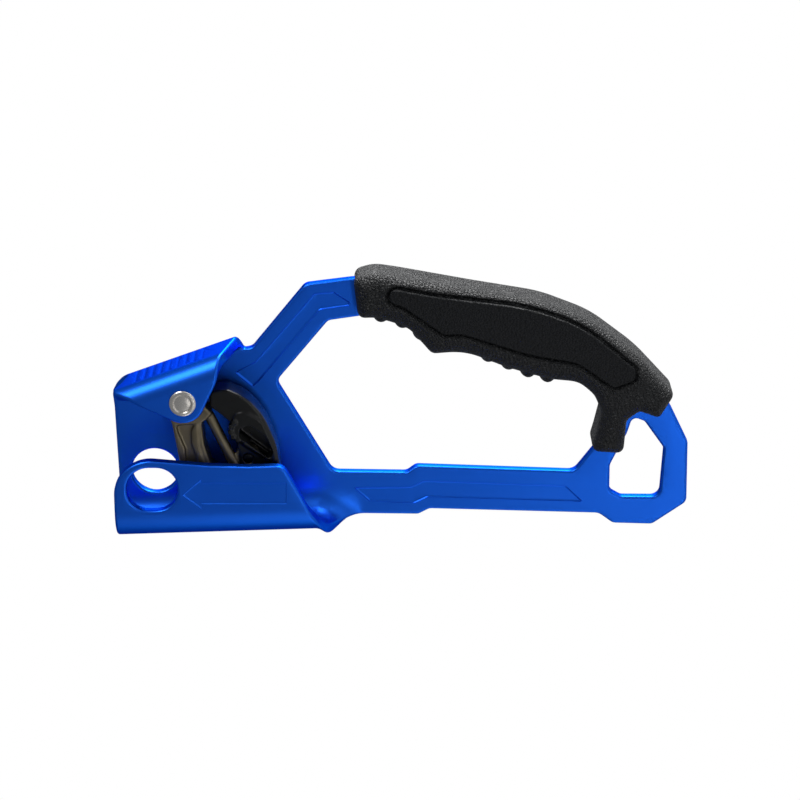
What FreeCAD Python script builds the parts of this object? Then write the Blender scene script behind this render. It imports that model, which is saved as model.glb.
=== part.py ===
import FreeCAD, Part
import math
import os

import Sketcher
from FreeCAD import Placement, Rotation, Vector

# Handled rope ascender, millimetres. The head, with the rope channel, points up (+Z), the hand grip is
# on the +X side, and the plate's front face is the plane Y = 0 with the flaps and the cam in front (-Y).
# The origin is the centre of the carabiner hole in the head.

doc = FreeCAD.newDocument("ascender")

# ---------------------------------------------------------------------------------------------------
# Driving dimensions
# ---------------------------------------------------------------------------------------------------
DIMENSIONS = [
    ("plate_thickness", 4.0),
    ("rope_gap", 16.0),
    ("channel_radius", 8.0),
    ("channel_axis_x", -6.9),
    ("channel_tail", -54.6),
    ("head_edge", 12.6),
    ("hole_diameter", 16.3),
    ("flap_hole_width", 15.8),
    ("flap_hole_length", 17.5),
    ("fold_angle", 20.1),
    ("fold_height", 37.0),
    ("fold_rear_radius", 6.0),
    ("fold_front_radius", 5.0),
    ("fold_tail", -46.0),
    ("fold_length", 52.0),
    ("groove_pitch", 3.1),
    ("groove_depth", 0.2),
    ("panel_depth", 0.5),
    ("arrow_depth", 0.3),
    ("axle_x", 32.5),
    ("axle_z", -12.1),
    ("axle_diameter", 6.0),
    ("axle_head_diameter", 9.1),
    ("axle_head_height", 1.1),
    ("axle_recess_diameter", 5.6),
    ("running_fit", 0.05),
    ("washer_thickness", 0.8),
    ("bush_wall", 1.2),
    ("cam_front", 13.4),
    ("cam_thickness", 8.8),
    ("cam_side_gap", 0.3),
    ("tooth_radius", 0.85),
    ("tooth_height", 1.4),
    ("cam_spring_wire", 1.0),
    ("cam_spring_diameter", 10.6),
    ("catch_front", 12.9),
    ("catch_thickness", 10.4),
    ("catch_pin_x", 9.2),
    ("catch_pin_z", -33.5),
    ("catch_pin_diameter", 3.4),
    ("tongue_thickness", 4.2),
    ("cam_hollow_depth", 1.0),
    ("teardrop_depth", 7.0),
    ("spring_pocket_diameter", 7.0),
    ("spring_pocket_depth", 3.0),
    ("catch_spring_wire", 0.6),
    ("catch_spring_diameter", 5.6),
    ("grip_split", 2.0),
    ("grip_front_depth", 11.0),
    ("grip_rear_depth", 10.0),
    ("grip_crown", 1.5),
    ("inlay_depth", 1.2),
    ("inlay_rise", 0.4),
    ("peg_diameter", 4.6),
    ("peg_hole_diameter", 5.0),
    ("peg_reach", 4.0),
]

sheet = doc.addObject("Spreadsheet::Sheet", "Sizes")
for row, (alias, number) in enumerate(DIMENSIONS, start=1):
    sheet.set(f"A{row}", alias)
    sheet.set(f"B{row}", str(number))
    sheet.setAlias(f"B{row}", alias)
doc.recompute()


def size(alias):
    """Value of one driving dimension."""
    return float(sheet.get(alias))


# ---------------------------------------------------------------------------------------------------
# Sketching helpers
# ---------------------------------------------------------------------------------------------------
def new_body(label):
    """PartDesign body whose label names its node."""
    body = doc.addObject("PartDesign::Body", label)
    body.Label = label
    return body


def new_sketch(body, name, role, offset=None):
    """Sketch on one of the body's own origin planes, moved and turned by offset."""
    sketch = body.newObject("Sketcher::SketchObject", name)
    plane = [feature for feature in body.Origin.OriginFeatures if feature.Role == role][0]
    sketch.AttachmentSupport = [(plane, "")]
    sketch.MapMode = "FlatFace"
    if offset is not None:
        sketch.AttachmentOffset = offset
    return sketch


def side_offset(depth_y, angle=0.0):
    """Offset of a side-view sketch (X to the right, Z up) to the plane Y = depth_y, turned by angle."""
    return Placement(Vector(0, 0, -depth_y), Rotation(Vector(0, 0, 1), angle))


def rounded_edges(corners):
    """Closed run of lines and tangent arcs through corners (x, y) or (x, y, radius)."""
    points = [Vector(c[0], c[1], 0) for c in corners]
    radii = [c[2] if len(c) > 2 else 0.0 for c in corners]
    count = len(points)
    entries, exits, middles = [], [], []
    for i in range(count):
        here, before, after = points[i], points[i - 1], points[(i + 1) % count]
        to_before = (before - here).normalize()
        to_after = (after - here).normalize()
        half = to_before.getAngle(to_after) / 2
        if radii[i] == 0.0:
            entries.append(here)
            exits.append(here)
            middles.append(None)
            continue
        reach = radii[i] / math.tan(half)
        bisector = (to_before + to_after).normalize()
        centre = here + bisector * (radii[i] / math.sin(half))
        entries.append(here + to_before * reach)
        exits.append(here + to_after * reach)
        middles.append(centre - bisector * radii[i])
    edges = []
    for i in range(count):
        if middles[i] is not None:
            edges.append(Part.Arc(entries[i], middles[i], exits[i]))
        follower = (i + 1) % count
        if exits[i].distanceToPoint(entries[follower]) > 1e-6:
            edges.append(Part.LineSegment(exits[i], entries[follower]))
    return edges


def draw(sketch, corners):
    """Add a rounded outline to a sketch."""
    sketch.addGeometry(rounded_edges(corners), False)


def draw_circle(sketch, x, y, diameter):
    """Circle whose diameter follows a cell of the sheet."""
    index = sketch.addGeometry(Part.Circle(Vector(x, y, 0), Vector(0, 0, 1), size(diameter) / 2), False)
    constraint = sketch.addConstraint(Sketcher.Constraint("Radius", index, size(diameter) / 2))
    sketch.setExpression(f"Constraints[{constraint}]", f"Sizes.{diameter} / 2")


def pad(body, sketch, name, length, reverse=False):
    """Pad whose length is an expression in the sheet's names or a plain number."""
    feature = body.newObject("PartDesign::Pad", name)
    feature.Profile = sketch
    feature.setExpression("Length", str(length))
    feature.Reversed = reverse
    doc.recompute()
    return feature


def pocket(body, sketch, name, length, reverse=False):
    """Pocket that has to take material away."""
    volume = body.Shape.Volume
    feature = body.newObject("PartDesign::Pocket", name)
    feature.Profile = sketch
    feature.setExpression("Length", str(length))
    feature.Reversed = reverse
    doc.recompute()
    assert body.Shape.Volume < volume, f"{name} cuts nothing"
    return feature


# ---------------------------------------------------------------------------------------------------
# frame: one piece of 4 mm aluminium sheet, cut and bent
# ---------------------------------------------------------------------------------------------------
# Outer edge of the flat plate, from the head along the upper fold, the arm under the grip, the tail
# and the lower bar.
PLATE_OUTLINE = [
    (-6.9, 12.6),
    (27.0, 13.5),
    (43.9, -32.6),
    (45.5, -34.9, 3.0),
    (68.4, -53.4, 3.5),
    (70.8, -72.0, 30.0),
    (66.0, -112.0, 60.0),
    (61.0, -138.0, 40.0),
    (44.7, -162.0, 30.0),
    (24.6, -179.7, 12.0),
    (10.6, -186.5, 3.0),
    (-11.9, -186.9, 3.0),
    (-20.4, -175.0, 3.0),
    (-20.0, -161.0, 3.5),
    (-16.2, -156.0, 4.0),
    (-14.5, -96.3, 3.0),
    (-16.6, -92.4, 3.0),
    (-16.4, -73.0),
    (-6.9, -73.0),
]
HAND_WINDOW = [
    (59.6, -79.5, 6.0),
    (56.9, -72.0, 5.0),
    (55.3, -61.2, 3.0),
    (33.2, -43.1, 3.2),
    (-0.4, -62.4, 4.0),
    (-0.8, -88.2, 3.0),
    (1.7, -91.5, 3.0),
    (-0.3, -146.9, 4.0),
    (19.0, -161.3, 6.0),
    (37.5, -154.0, 8.0),
    (46.5, -134.0, 30.0),
    (54.0, -104.0, 40.0),
]
TAIL_WINDOW = [
    (20.0, -167.0, 2.2),
    (13.9, -165.2, 6.0),
    (2.0, -159.5, 4.0),
    (-7.6, -159.6, 2.5),
    (-9.9, -163.7, 2.5),
    (-10.0, -177.2, 3.2),
    (8.4, -178.2, 3.0),
    (18.3, -171.2, 2.2),
]
ARM_PANEL = [
    (36.4, -28.8),
    (31.2, -34.8),
    (32.8, -36.7),
    (59.3, -58.4, 2.0),
    (60.8, -68.4),
    (62.1, -68.8),
    (65.8, -63.3),
    (65.1, -56.4, 1.5),
    (40.5, -35.9, 2.0),
    (37.4, -30.0),
]
BAR_PANEL = [
    (-6.3, -69.3),
    (-11.6, -75.0),
    (-12.4, -90.8, 2.0),
    (-10.0, -95.6, 2.0),
    (-11.8, -150.6),
    (-5.7, -144.3),
    (-3.7, -94.2, 2.0),
    (-6.1, -89.5, 2.0),
]
PEG_PLACES = [(61.5, -88.0), (54.0, -126.0), (36.5, -161.0)]

frame = new_body("frame")
plate_sketch = new_sketch(frame, "plate_outline", "XZ_Plane", side_offset(size("plate_thickness")))
for corners in (PLATE_OUTLINE, HAND_WINDOW, TAIL_WINDOW):
    draw(plate_sketch, corners)
pad(frame, plate_sketch, "plate", "Sizes.plate_thickness")

# Rope channel: the lower edge of the plate is bent through a half circle into the front flap.
channel_x = size("channel_axis_x")
inner_radius = size("channel_radius")
outer_radius = inner_radius + size("plate_thickness")
FLAP_TOP = 14.0
OVERLAP = 2.0
channel_sketch = new_sketch(
    frame, "channel_section", "XY_Plane", Placement(Vector(0, 0, size("channel_tail")), Rotation())
)


def channel_point(radius, angle):
    """Point of the bend's section, angle 0 on the plate and 180 on the flap."""
    turn = math.radians(angle)
    return Vector(channel_x - radius * math.sin(turn), -inner_radius + radius * math.cos(turn), 0)


back, front = size("plate_thickness"), -size("rope_gap") - size("plate_thickness")
channel_sketch.addGeometry(
    [
        Part.LineSegment(Vector(channel_x + OVERLAP, back, 0), channel_point(outer_radius, 0)),
        Part.Arc(*[channel_point(outer_radius, angle) for angle in (0, 90, 180)]),
        Part.LineSegment(channel_point(outer_radius, 180), Vector(FLAP_TOP, front, 0)),
        Part.LineSegment(Vector(FLAP_TOP, front, 0), Vector(FLAP_TOP, -size("rope_gap"), 0)),
        Part.LineSegment(Vector(FLAP_TOP, -size("rope_gap"), 0), channel_point(inner_radius, 180)),
        Part.Arc(*[channel_point(inner_radius, angle) for angle in (180, 90, 0)]),
        Part.LineSegment(channel_point(inner_radius, 0), Vector(channel_x + OVERLAP, 0, 0)),
        Part.LineSegment(Vector(channel_x + OVERLAP, 0, 0), Vector(channel_x + OVERLAP, back, 0)),
    ],
    False,
)
pad(frame, channel_sketch, "channel", "Sizes.head_edge - Sizes.channel_tail")

# Flare: towards the tail the bend opens out and the sheet runs flat into the lower bar. Each section
# gives the height, how far the bend is closed (1 is a half circle) and how wide the sheet still is.
FLARE_SECTIONS = [
    (-54.6, 1.0, 31.4),
    (-57.5, 1.0, 26.0),
    (-60.5, 0.93, 19.6),
    (-63.5, 0.70, 14.9),
    (-66.5, 0.40, 11.9),
    (-69.5, 0.14, 10.2),
    (-73.0, 0.02, 9.5),
]
middle_radius = inner_radius + size("plate_thickness") / 2


def flare_section(name, height, closed, width):
    """Section of the sheet, width measured round the bend from the plate."""
    radius = middle_radius / closed
    half = size("plate_thickness") / 2
    turn = width / radius

    def at(offset, angle):
        reach = radius + offset
        return Vector(channel_x - reach * math.sin(angle), half - radius + reach * math.cos(angle), 0)

    sketch = new_sketch(frame, name, "XY_Plane", Placement(Vector(0, 0, height), Rotation()))
    outer = [at(half, turn * part) for part in (0, 0.5, 1)]
    inner = [at(-half, turn * part) for part in (1, 0.5, 0)]
    root = [Vector(channel_x + OVERLAP, 0, 0), Vector(channel_x + OVERLAP, 2 * half, 0)]
    sketch.addGeometry(
        [
            Part.LineSegment(root[1], outer[0]),
            Part.Arc(*outer),
            Part.LineSegment(outer[2], inner[0]),
            Part.Arc(*inner),
            Part.LineSegment(inner[2], root[0]),
            Part.LineSegment(root[0], root[1]),
        ],
        False,
    )
    return sketch


flare_sketches = [
    flare_section(f"flare_section_{number}", *section)
    for number, section in enumerate(FLARE_SECTIONS, start=1)
]
doc.recompute()
flare = frame.newObject("PartDesign::AdditiveLoft", "flare")
flare.Profile = flare_sketches[0]
flare.Sections = flare_sketches[1:]
flare.Ruled = True
doc.recompute()

# The flap's free edge: round about the carabiner hole, along the rope, then down the slant to the flare.
FLAP_WASTE = [
    (-6.9, -54.6),
    (9.4, -46.0, 4.5),
    (9.1, -33.0, 30.0),
    (9.5, -20.0, 60.0),
    (11.9, 0.0, 20.0),
    (11.9, 12.7, 11.4),
    (0.0, 12.61),
    (0.0, 16.0),
    (16.0, 16.0),
    (16.0, -58.0),
    (-6.9, -58.0),
]
flap_trim_sketch = new_sketch(frame, "flap_trim_outline", "XZ_Plane", side_offset(front - 1))
draw(flap_trim_sketch, FLAP_WASTE)
pocket(frame, flap_trim_sketch, "flap_trim", "Sizes.plate_thickness + 4")

# Upper fold: the plate is bent forward along a line that leans by fold_angle, and again into the flap
# that carries the axle. Its section is drawn across the fold: out from the origin, then front to back.
angle = size("fold_angle")
height, rear, nose = size("fold_height"), size("fold_rear_radius"), size("fold_front_radius")
sheet_t = size("plate_thickness")
FLAP_LOW = 16.0
fold_sketch = new_sketch(
    frame,
    "fold_section",
    "XY_Plane",
    Placement(
        Rotation(Vector(0, 1, 0), -angle).multVec(Vector(0, 0, size("fold_tail"))),
        Rotation(Vector(0, 1, 0), -angle),
    ),
)


def bend(centre_x, centre_y, radius, start, stop):
    """Quarter bend between two directions in degrees."""
    places = []
    for direction in (start, (start + stop) / 2, stop):
        turn = math.radians(direction)
        places.append(Vector(centre_x + radius * math.cos(turn), centre_y + radius * math.sin(turn), 0))
    return Part.Arc(*places)


rear_centre = (height - rear, sheet_t - rear)
nose_centre = (height - nose, front + nose)
fold_sketch.addGeometry(
    [
        Part.LineSegment(Vector(rear_centre[0] - OVERLAP, back, 0), Vector(rear_centre[0], back, 0)),
        bend(*rear_centre, rear, 90, 0),
        Part.LineSegment(Vector(height, rear_centre[1], 0), Vector(height, nose_centre[1], 0)),
        bend(*nose_centre, nose, 0, -90),
        Part.LineSegment(Vector(nose_centre[0], front, 0), Vector(FLAP_LOW, front, 0)),
        Part.LineSegment(Vector(FLAP_LOW, front, 0), Vector(FLAP_LOW, front + sheet_t, 0)),
        Part.LineSegment(Vector(FLAP_LOW, front + sheet_t, 0), Vector(nose_centre[0], front + sheet_t, 0)),
        bend(*nose_centre, nose - sheet_t, -90, 0),
        Part.LineSegment(
            Vector(height - sheet_t, nose_centre[1], 0), Vector(height - sheet_t, rear_centre[1], 0)
        ),
        bend(*rear_centre, rear - sheet_t, 0, 90),
        Part.LineSegment(Vector(rear_centre[0], 0, 0), Vector(rear_centre[0] - OVERLAP, 0, 0)),
        Part.LineSegment(
            Vector(rear_centre[0] - OVERLAP, 0, 0), Vector(rear_centre[0] - OVERLAP, back, 0)
        ),
    ],
    False,
)
pad(frame, fold_sketch, "fold", "Sizes.fold_length")

# Edge of the upper flap, in the fold's own directions: round about the axle and straight up both sides.
FLAP_EDGE_WASTE = [
    (38.0, -0.6),
    (15.7, -22.3, 7.6),
    (29.0, -35.6, 14.0),
    (38.0, -41.6),
    (38.0, -50.0),
    (12.0, -50.0),
    (12.0, 12.0),
    (38.0, 12.0),
]
flap_edge_sketch = new_sketch(frame, "upper_flap_outline", "XZ_Plane", side_offset(front - 1, angle))
draw(flap_edge_sketch, FLAP_EDGE_WASTE)
pocket(frame, flap_edge_sketch, "upper_flap_trim", "Sizes.plate_thickness + 2")


def across_offset(reach):
    """Offset of a sketch that looks down on the fold (Y to the right, along the fold upwards)."""
    turn = Rotation(Vector(1, 0, 0), -angle)
    return Placement(turn.multVec(Vector(0, 0, reach)), turn)


WEB_HEAD_WASTE = [(-24.0, -1.4), (-15.0, -1.4), (-9.0, -1.8), (2.0, -3.4), (5.0, -3.4), (5.0, 9.0), (-24.0, 9.0)]
WEB_TAIL_WASTE = [(-24.0, -40.6), (-15.0, -41.0), (-0.01, -44.8), (-0.01, -52.0), (-24.0, -52.0)]
for name, corners, floor in (
    ("web_head", WEB_HEAD_WASTE, 5.5),
    ("web_tail", WEB_TAIL_WASTE, 8.0),
):
    web_sketch = new_sketch(frame, f"{name}_outline", "YZ_Plane", across_offset(height + 1))
    draw(web_sketch, corners)
    pocket(frame, web_sketch, f"{name}_trim", floor)

FOLD_CORNER_WASTE = [
    (26.9, 4.2),
    (29.5, 3.52),
    (31.6, 3.3),
    (37.2, -3.4),
    (38.5, -3.0),
    (38.5, 8.0),
    (26.9, 8.0),
]
fold_corner_sketch = new_sketch(frame, "fold_corner_outline", "XZ_Plane", side_offset(-8.0, angle))
draw(fold_corner_sketch, FOLD_CORNER_WASTE)
pocket(frame, fold_corner_sketch, "fold_corner_trim", "Sizes.plate_thickness + 9")

# Nine pressed grooves across the top of the fold.
GROOVE_COUNT = 9
GROOVE_FIRST = -8.5
GROOVE_WIDTH = 0.8
groove_sketch = new_sketch(frame, "groove_outlines", "YZ_Plane", across_offset(height + 1))
for number in range(GROOVE_COUNT):
    along = GROOVE_FIRST - number * size("groove_pitch")
    draw(
        groove_sketch,
        [
            (-13.5, along - GROOVE_WIDTH / 2),
            (-0.5, along - GROOVE_WIDTH / 2),
            (-0.5, along + GROOVE_WIDTH / 2),
            (-13.5, along + GROOVE_WIDTH / 2),
        ],
    )
pocket(frame, groove_sketch, "grooves", "Sizes.groove_depth + 1")

# Sunk panels on the arm and the bar, and a sunk direction arrow on the channel's flap.
for name, corners in (("arm_panel", ARM_PANEL), ("bar_panel", BAR_PANEL)):
    panel_sketch = new_sketch(frame, f"{name}_outline", "XZ_Plane", side_offset(0.0))
    draw(panel_sketch, corners)
    pocket(frame, panel_sketch, name, "Sizes.panel_depth")
ARROW = [
    (-1.2, -10.9),
    (4.9, -17.9),
    (3.4, -17.9),
    (3.4, -46.4),
    (-4.5, -46.4),
    (-4.5, -17.9),
    (-6.7, -17.9),
]
arrow_sketch = new_sketch(frame, "arrow_outline", "XZ_Plane", side_offset(front))
draw(arrow_sketch, ARROW)
pocket(frame, arrow_sketch, "arrow", "Sizes.arrow_depth")

# Holes: carabiner, axle and the grip's pegs.
hole_sketch = new_sketch(frame, "plate_holes", "XZ_Plane", side_offset(-1.0))
draw_circle(hole_sketch, 0.0, 0.0, "hole_diameter")
for x, z in PEG_PLACES:
    draw_circle(hole_sketch, x, z, "peg_hole_diameter")
pocket(frame, hole_sketch, "plate_hole_cuts", "Sizes.plate_thickness + 2")

FLAP_HOLE_X, FLAP_HOLE_Z = 0.7, -0.7
half_width = size("flap_hole_width") / 2
half_length = size("flap_hole_length") / 2
flap_hole_sketch = new_sketch(frame, "flap_hole", "XZ_Plane", side_offset(front - 1))
draw(
    flap_hole_sketch,
    [
        (FLAP_HOLE_X - half_width, FLAP_HOLE_Z - half_length, half_width - 0.01),
        (FLAP_HOLE_X + half_width, FLAP_HOLE_Z - half_length, half_width - 0.01),
        (FLAP_HOLE_X + half_width, FLAP_HOLE_Z + half_length, half_width - 0.01),
        (FLAP_HOLE_X - half_width, FLAP_HOLE_Z + half_length, half_width - 0.01),
    ],
)
pocket(frame, flap_hole_sketch, "flap_hole_cut", "Sizes.plate_thickness + 5")

axle_hole_sketch = new_sketch(frame, "axle_holes", "XZ_Plane", side_offset(front - 1))
draw_circle(axle_hole_sketch, size("axle_x"), size("axle_z"), "axle_diameter")
pocket(frame, axle_hole_sketch, "axle_hole_cut", "Sizes.rope_gap + 2 * Sizes.plate_thickness + 2")


# ---------------------------------------------------------------------------------------------------
# Turned pieces on the cam's axle: rivet, washer, spacers and bush
# ---------------------------------------------------------------------------------------------------
def turned(label, centre, profile):
    """Body of revolution about a line along Y; profile is (radius, y) points, centre names its cells."""
    body = new_body(label)
    sketch = new_sketch(body, f"{label}_profile", "XY_Plane")
    sketch.setExpression("AttachmentOffset.Base.x", f"Sizes.{centre}_x")
    sketch.setExpression("AttachmentOffset.Base.z", f"Sizes.{centre}_z")
    draw(sketch, profile)
    doc.recompute()
    feature = body.newObject("PartDesign::Revolution", f"{label}_turn")
    feature.Profile = sketch
    feature.ReferenceAxis = (sketch, ["V_Axis"])
    feature.Angle = 360
    doc.recompute()
    return body


axle_radius = size("axle_diameter") / 2
head_radius = size("axle_head_diameter") / 2
bore_radius = axle_radius + size("running_fit")
washer_back = back + size("washer_thickness")
head_front = front - size("axle_head_height")
recess_radius = size("axle_recess_diameter") / 2
REAR_HEAD = 1.0
cam_front = -size("cam_front")
cam_back = cam_front + size("cam_thickness")
side_gap = size("cam_side_gap")

# cam_axle: stainless rivet, hollow-headed in front and formed over the washer behind.
cam_axle = turned(
    "cam_axle",
    "axle",
    [
        (0.0, head_front + 0.5),
        (recess_radius - 0.5, head_front + 0.5),
        (recess_radius, head_front),
        (head_radius - 0.35, head_front),
        (head_radius, head_front + 0.35),
        (head_radius, front),
        (axle_radius, front),
        (axle_radius, washer_back),
        (head_radius - 0.6, washer_back),
        (head_radius - 0.9, washer_back + REAR_HEAD * 0.7),
        (head_radius - 1.8, washer_back + REAR_HEAD),
        (0.0, washer_back + REAR_HEAD),
    ],
)
# axle_washer: steel washer under the formed rear head.
axle_washer = turned(
    "axle_washer",
    "axle",
    [
        (bore_radius, back),
        (head_radius + 0.9, back),
        (head_radius + 0.9, washer_back - 0.2),
        (head_radius + 0.7, washer_back),
        (bore_radius, washer_back),
    ],
)
# cam_spacer_front and cam_spacer_rear: hard nylon spacers that keep the cam in the middle of the gap.
cam_spacer_front = turned(
    "cam_spacer_front",
    "axle",
    [
        (bore_radius, -size("rope_gap")),
        (5.2, -size("rope_gap")),
        (5.2, cam_front - side_gap),
        (bore_radius, cam_front - side_gap),
    ],
)
cam_spacer_rear = turned(
    "cam_spacer_rear",
    "axle",
    [(bore_radius, cam_back + side_gap), (4.1, cam_back + side_gap), (4.1, 0.0), (bore_radius, 0.0)],
)
# cam_bush: bronze bush pressed into the hub of the cam.
bush_radius = bore_radius + size("bush_wall")
cam_bush = turned(
    "cam_bush",
    "axle",
    [(bore_radius, cam_front), (bush_radius, cam_front), (bush_radius, cam_back), (bore_radius, cam_back)],
)

# ---------------------------------------------------------------------------------------------------
# cam: cast steel skeleton with a hub, an arm with a leaf-shaped rib, a toothed nose and a tongue
# ---------------------------------------------------------------------------------------------------
CAM_OUTLINE = [
    (38.1, -6.5, 5.5),
    (27.0, -6.1, 4.0),
    (22.5, -7.6, 6.0),
    (9.1, -9.8, 12.0),
    (-0.5, -10.8, 8.0),
    (-8.5, -12.8, 2.0),
    (-10.7, -21.0, 12.0),
    (-8.1, -29.6, 7.0),
    (-1.5, -31.0, 3.0),
    (5.2, -37.5, 3.9),
    (13.2, -37.5, 3.9),
    (13.2, -29.5, 3.9),
    (6.5, -28.4, 1.0),
    (2.9, -25.0, 2.5),
    (6.9, -20.7, 3.0),
    (14.5, -18.6, 10.0),
    (22.7, -17.6, 1.0),
    (24.0, -19.3),
    (26.1, -21.4, 0.6),
    (28.9, -18.9, 1.0),
    (38.1, -17.7, 5.5),
]
CAM_HOLLOW = [
    (21.1, -9.6, 1.0),
    (13.1, -12.2, 4.0),
    (3.5, -12.6, 4.0),
    (-5.1, -14.2, 2.0),
    (-4.1, -19.4, 3.0),
    (5.5, -17.4, 3.0),
    (11.6, -14.9, 6.0),
    (21.4, -14.4, 1.0),
]
TONGUE_ZONE = [
    (20.5, -22.4),
    (9.5, -26.0),
    (1.7, -28.6, 3.0),
    (-1.1, -34.0, 4.0),
    (-1.1, -44.0),
    (20.5, -44.0),
]
middle_y = (cam_front + cam_back) / 2
tongue_half = size("tongue_thickness") / 2

cam_blank = new_body("cam_blank")
cam_sketch = new_sketch(cam_blank, "cam_outline", "XZ_Plane", side_offset(cam_back))
draw(cam_sketch, CAM_OUTLINE)
pad(cam_blank, cam_sketch, "cam_plate", "Sizes.cam_thickness")
cam_bore_sketch = new_sketch(cam_blank, "cam_bore_outline", "XZ_Plane", side_offset(cam_front - 1))
cam_bore_sketch.addGeometry(
    Part.Circle(Vector(size("axle_x"), size("axle_z"), 0), Vector(0, 0, 1), bush_radius), False
)
pocket(cam_blank, cam_bore_sketch, "cam_bore", "Sizes.cam_thickness + 2")
hollow_sketch = new_sketch(cam_blank, "cam_hollow_outline", "XZ_Plane", side_offset(cam_front))
draw(hollow_sketch, CAM_HOLLOW)
pocket(cam_blank, hollow_sketch, "cam_hollow", "Sizes.cam_hollow_depth")
for name, start, depth in (
    ("tongue_front", cam_front - 1, middle_y - tongue_half - cam_front + 1),
    ("tongue_rear", middle_y + tongue_half, cam_back - middle_y - tongue_half + 1),
):
    zone_sketch = new_sketch(cam_blank, f"{name}_outline", "XZ_Plane", side_offset(start))
    draw(zone_sketch, TONGUE_ZONE)
    pocket(cam_blank, zone_sketch, f"{name}_cut", depth)
pin_bore_sketch = new_sketch(cam_blank, "cam_pin_bore", "XZ_Plane", side_offset(cam_front - 1))
draw_circle(pin_bore_sketch, size("catch_pin_x"), size("catch_pin_z"), "catch_pin_diameter")
pocket(cam_blank, pin_bore_sketch, "cam_pin_cut", "Sizes.cam_thickness + 2")

# Cast tie rod from the shoulder of the hub to the tongue.
ROD_RADIUS = 1.4
ROD_TOP = Vector(25.1, -10.0, -20.1)
ROD_FOOT = Vector(6.1, -10.0, -28.9)
cam_rod = doc.addObject("Part::Cylinder", "cam_rod")
cam_rod.Radius = ROD_RADIUS
cam_rod.Height = (ROD_TOP - ROD_FOOT).Length
cam_rod.Placement = Placement(ROD_FOOT, Rotation(Vector(0, 0, 1), ROD_TOP - ROD_FOOT))

# Teeth: rows of small cones that lean up the rope, set along the nose.
NOSE_CENTRE = (6.3, -21.1)
NOSE_RADIUS = 16.7
TOOTH_ROWS = 7
TOOTH_ROW_FIRST = -23.0
TOOTH_ROW_STEP = 7.6
TOOTH_LEAN = 18.0
TOOTH_PITCH = 2.0
TOOTH_ROOT = 0.8
TOOTH_TIP = 0.12
teeth = []
for row in range(TOOTH_ROWS):
    turn = math.radians(TOOTH_ROW_FIRST + row * TOOTH_ROW_STEP)
    lean = turn - math.radians(TOOTH_LEAN)
    count = 4 if row % 2 else 3
    for place in range(count):
        tooth = doc.addObject("Part::Cone", f"tooth_{row}_{place}")
        tooth.setExpression("Radius1", "Sizes.tooth_radius")
        tooth.Radius2 = TOOTH_TIP
        tooth.setExpression("Height", f"Sizes.tooth_height + {TOOTH_ROOT}")
        across = middle_y + (place - (count - 1) / 2) * TOOTH_PITCH
        root = NOSE_RADIUS - TOOTH_ROOT
        tooth.Placement = Placement(
            Vector(
                NOSE_CENTRE[0] - root * math.cos(turn), across, NOSE_CENTRE[1] - root * math.sin(turn)
            ),
            Rotation(Vector(0, 0, 1), Vector(-math.cos(lean), 0, -math.sin(lean))),
        )
        teeth.append(tooth)
cam = doc.addObject("Part::MultiFuse", "cam")
cam.Shapes = [cam_blank, cam_rod] + teeth
cam.Label = "cam"
doc.recompute()

# ---------------------------------------------------------------------------------------------------
# catch: black nylon safety catch, forked over the cam's tongue, with its pin and springs
# ---------------------------------------------------------------------------------------------------
CATCH_OUTLINE = [
    (33.9, -20.6, 1.5),
    (34.5, -26.8, 2.5),
    (31.6, -33.2, 14.0),
    (24.5, -39.2, 20.0),
    (14.0, -43.4, 20.0),
    (2.0, -44.9, 3.0),
    (1.1, -40.0, 2.0),
    (4.1, -37.0, 3.0),
    (4.1, -30.6, 3.0),
    (15.5, -29.8, 1.0),
    (17.5, -27.9, 1.5),
    (22.2, -27.9, 2.0),
    (25.7, -24.0, 4.0),
    (28.3, -20.6, 1.0),
]
CATCH_TEARDROP = [
    (20.4, -30.7, 1.5),
    (21.9, -34.0, 2.2),
    (18.0, -39.6, 5.0),
    (12.2, -42.2, 2.0),
    (9.0, -41.2, 1.2),
    (12.9, -34.8, 6.0),
    (17.2, -30.6, 1.2),
]
FORK_ZONE = [
    (14.6, -39.4, 5.2),
    (14.6, -28.2, 5.2),
    (-5.5, -24.0),
    (-5.5, -40.6),
    (5.5, -40.6, 3.0),
]
catch_front = -size("catch_front")
catch_back = catch_front + size("catch_thickness")
pin_radius = size("catch_pin_diameter") / 2
pin_bore_radius = pin_radius + size("running_fit")

catch = new_body("catch")
catch_sketch = new_sketch(catch, "catch_outline", "XZ_Plane", side_offset(catch_back))
draw(catch_sketch, CATCH_OUTLINE)
pad(catch, catch_sketch, "catch_plate", "Sizes.catch_thickness")
fork_sketch = new_sketch(
    catch, "fork_outline", "XZ_Plane", side_offset(middle_y - tongue_half - side_gap)
)
draw(fork_sketch, FORK_ZONE)
pocket(catch, fork_sketch, "fork", "Sizes.tongue_thickness + 2 * Sizes.cam_side_gap")
teardrop_sketch = new_sketch(catch, "teardrop_outline", "XZ_Plane", side_offset(catch_front))
draw(teardrop_sketch, CATCH_TEARDROP)
pocket(catch, teardrop_sketch, "teardrop", "Sizes.teardrop_depth")
catch_bore_sketch = new_sketch(catch, "catch_bore_outline", "XZ_Plane", side_offset(catch_front - 1))
catch_bore_sketch.addGeometry(
    Part.Circle(
        Vector(size("catch_pin_x"), size("catch_pin_z"), 0), Vector(0, 0, 1), pin_bore_radius
    ),
    False,
)
pocket(catch, catch_bore_sketch, "catch_bore", "Sizes.catch_thickness + 2")
spring_pocket_sketch = new_sketch(
    catch, "spring_pocket_outline", "XZ_Plane", side_offset(middle_y + tongue_half)
)
draw_circle(spring_pocket_sketch, size("catch_pin_x"), size("catch_pin_z"), "spring_pocket_diameter")
pocket(catch, spring_pocket_sketch, "spring_pocket", "Sizes.spring_pocket_depth")

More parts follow.
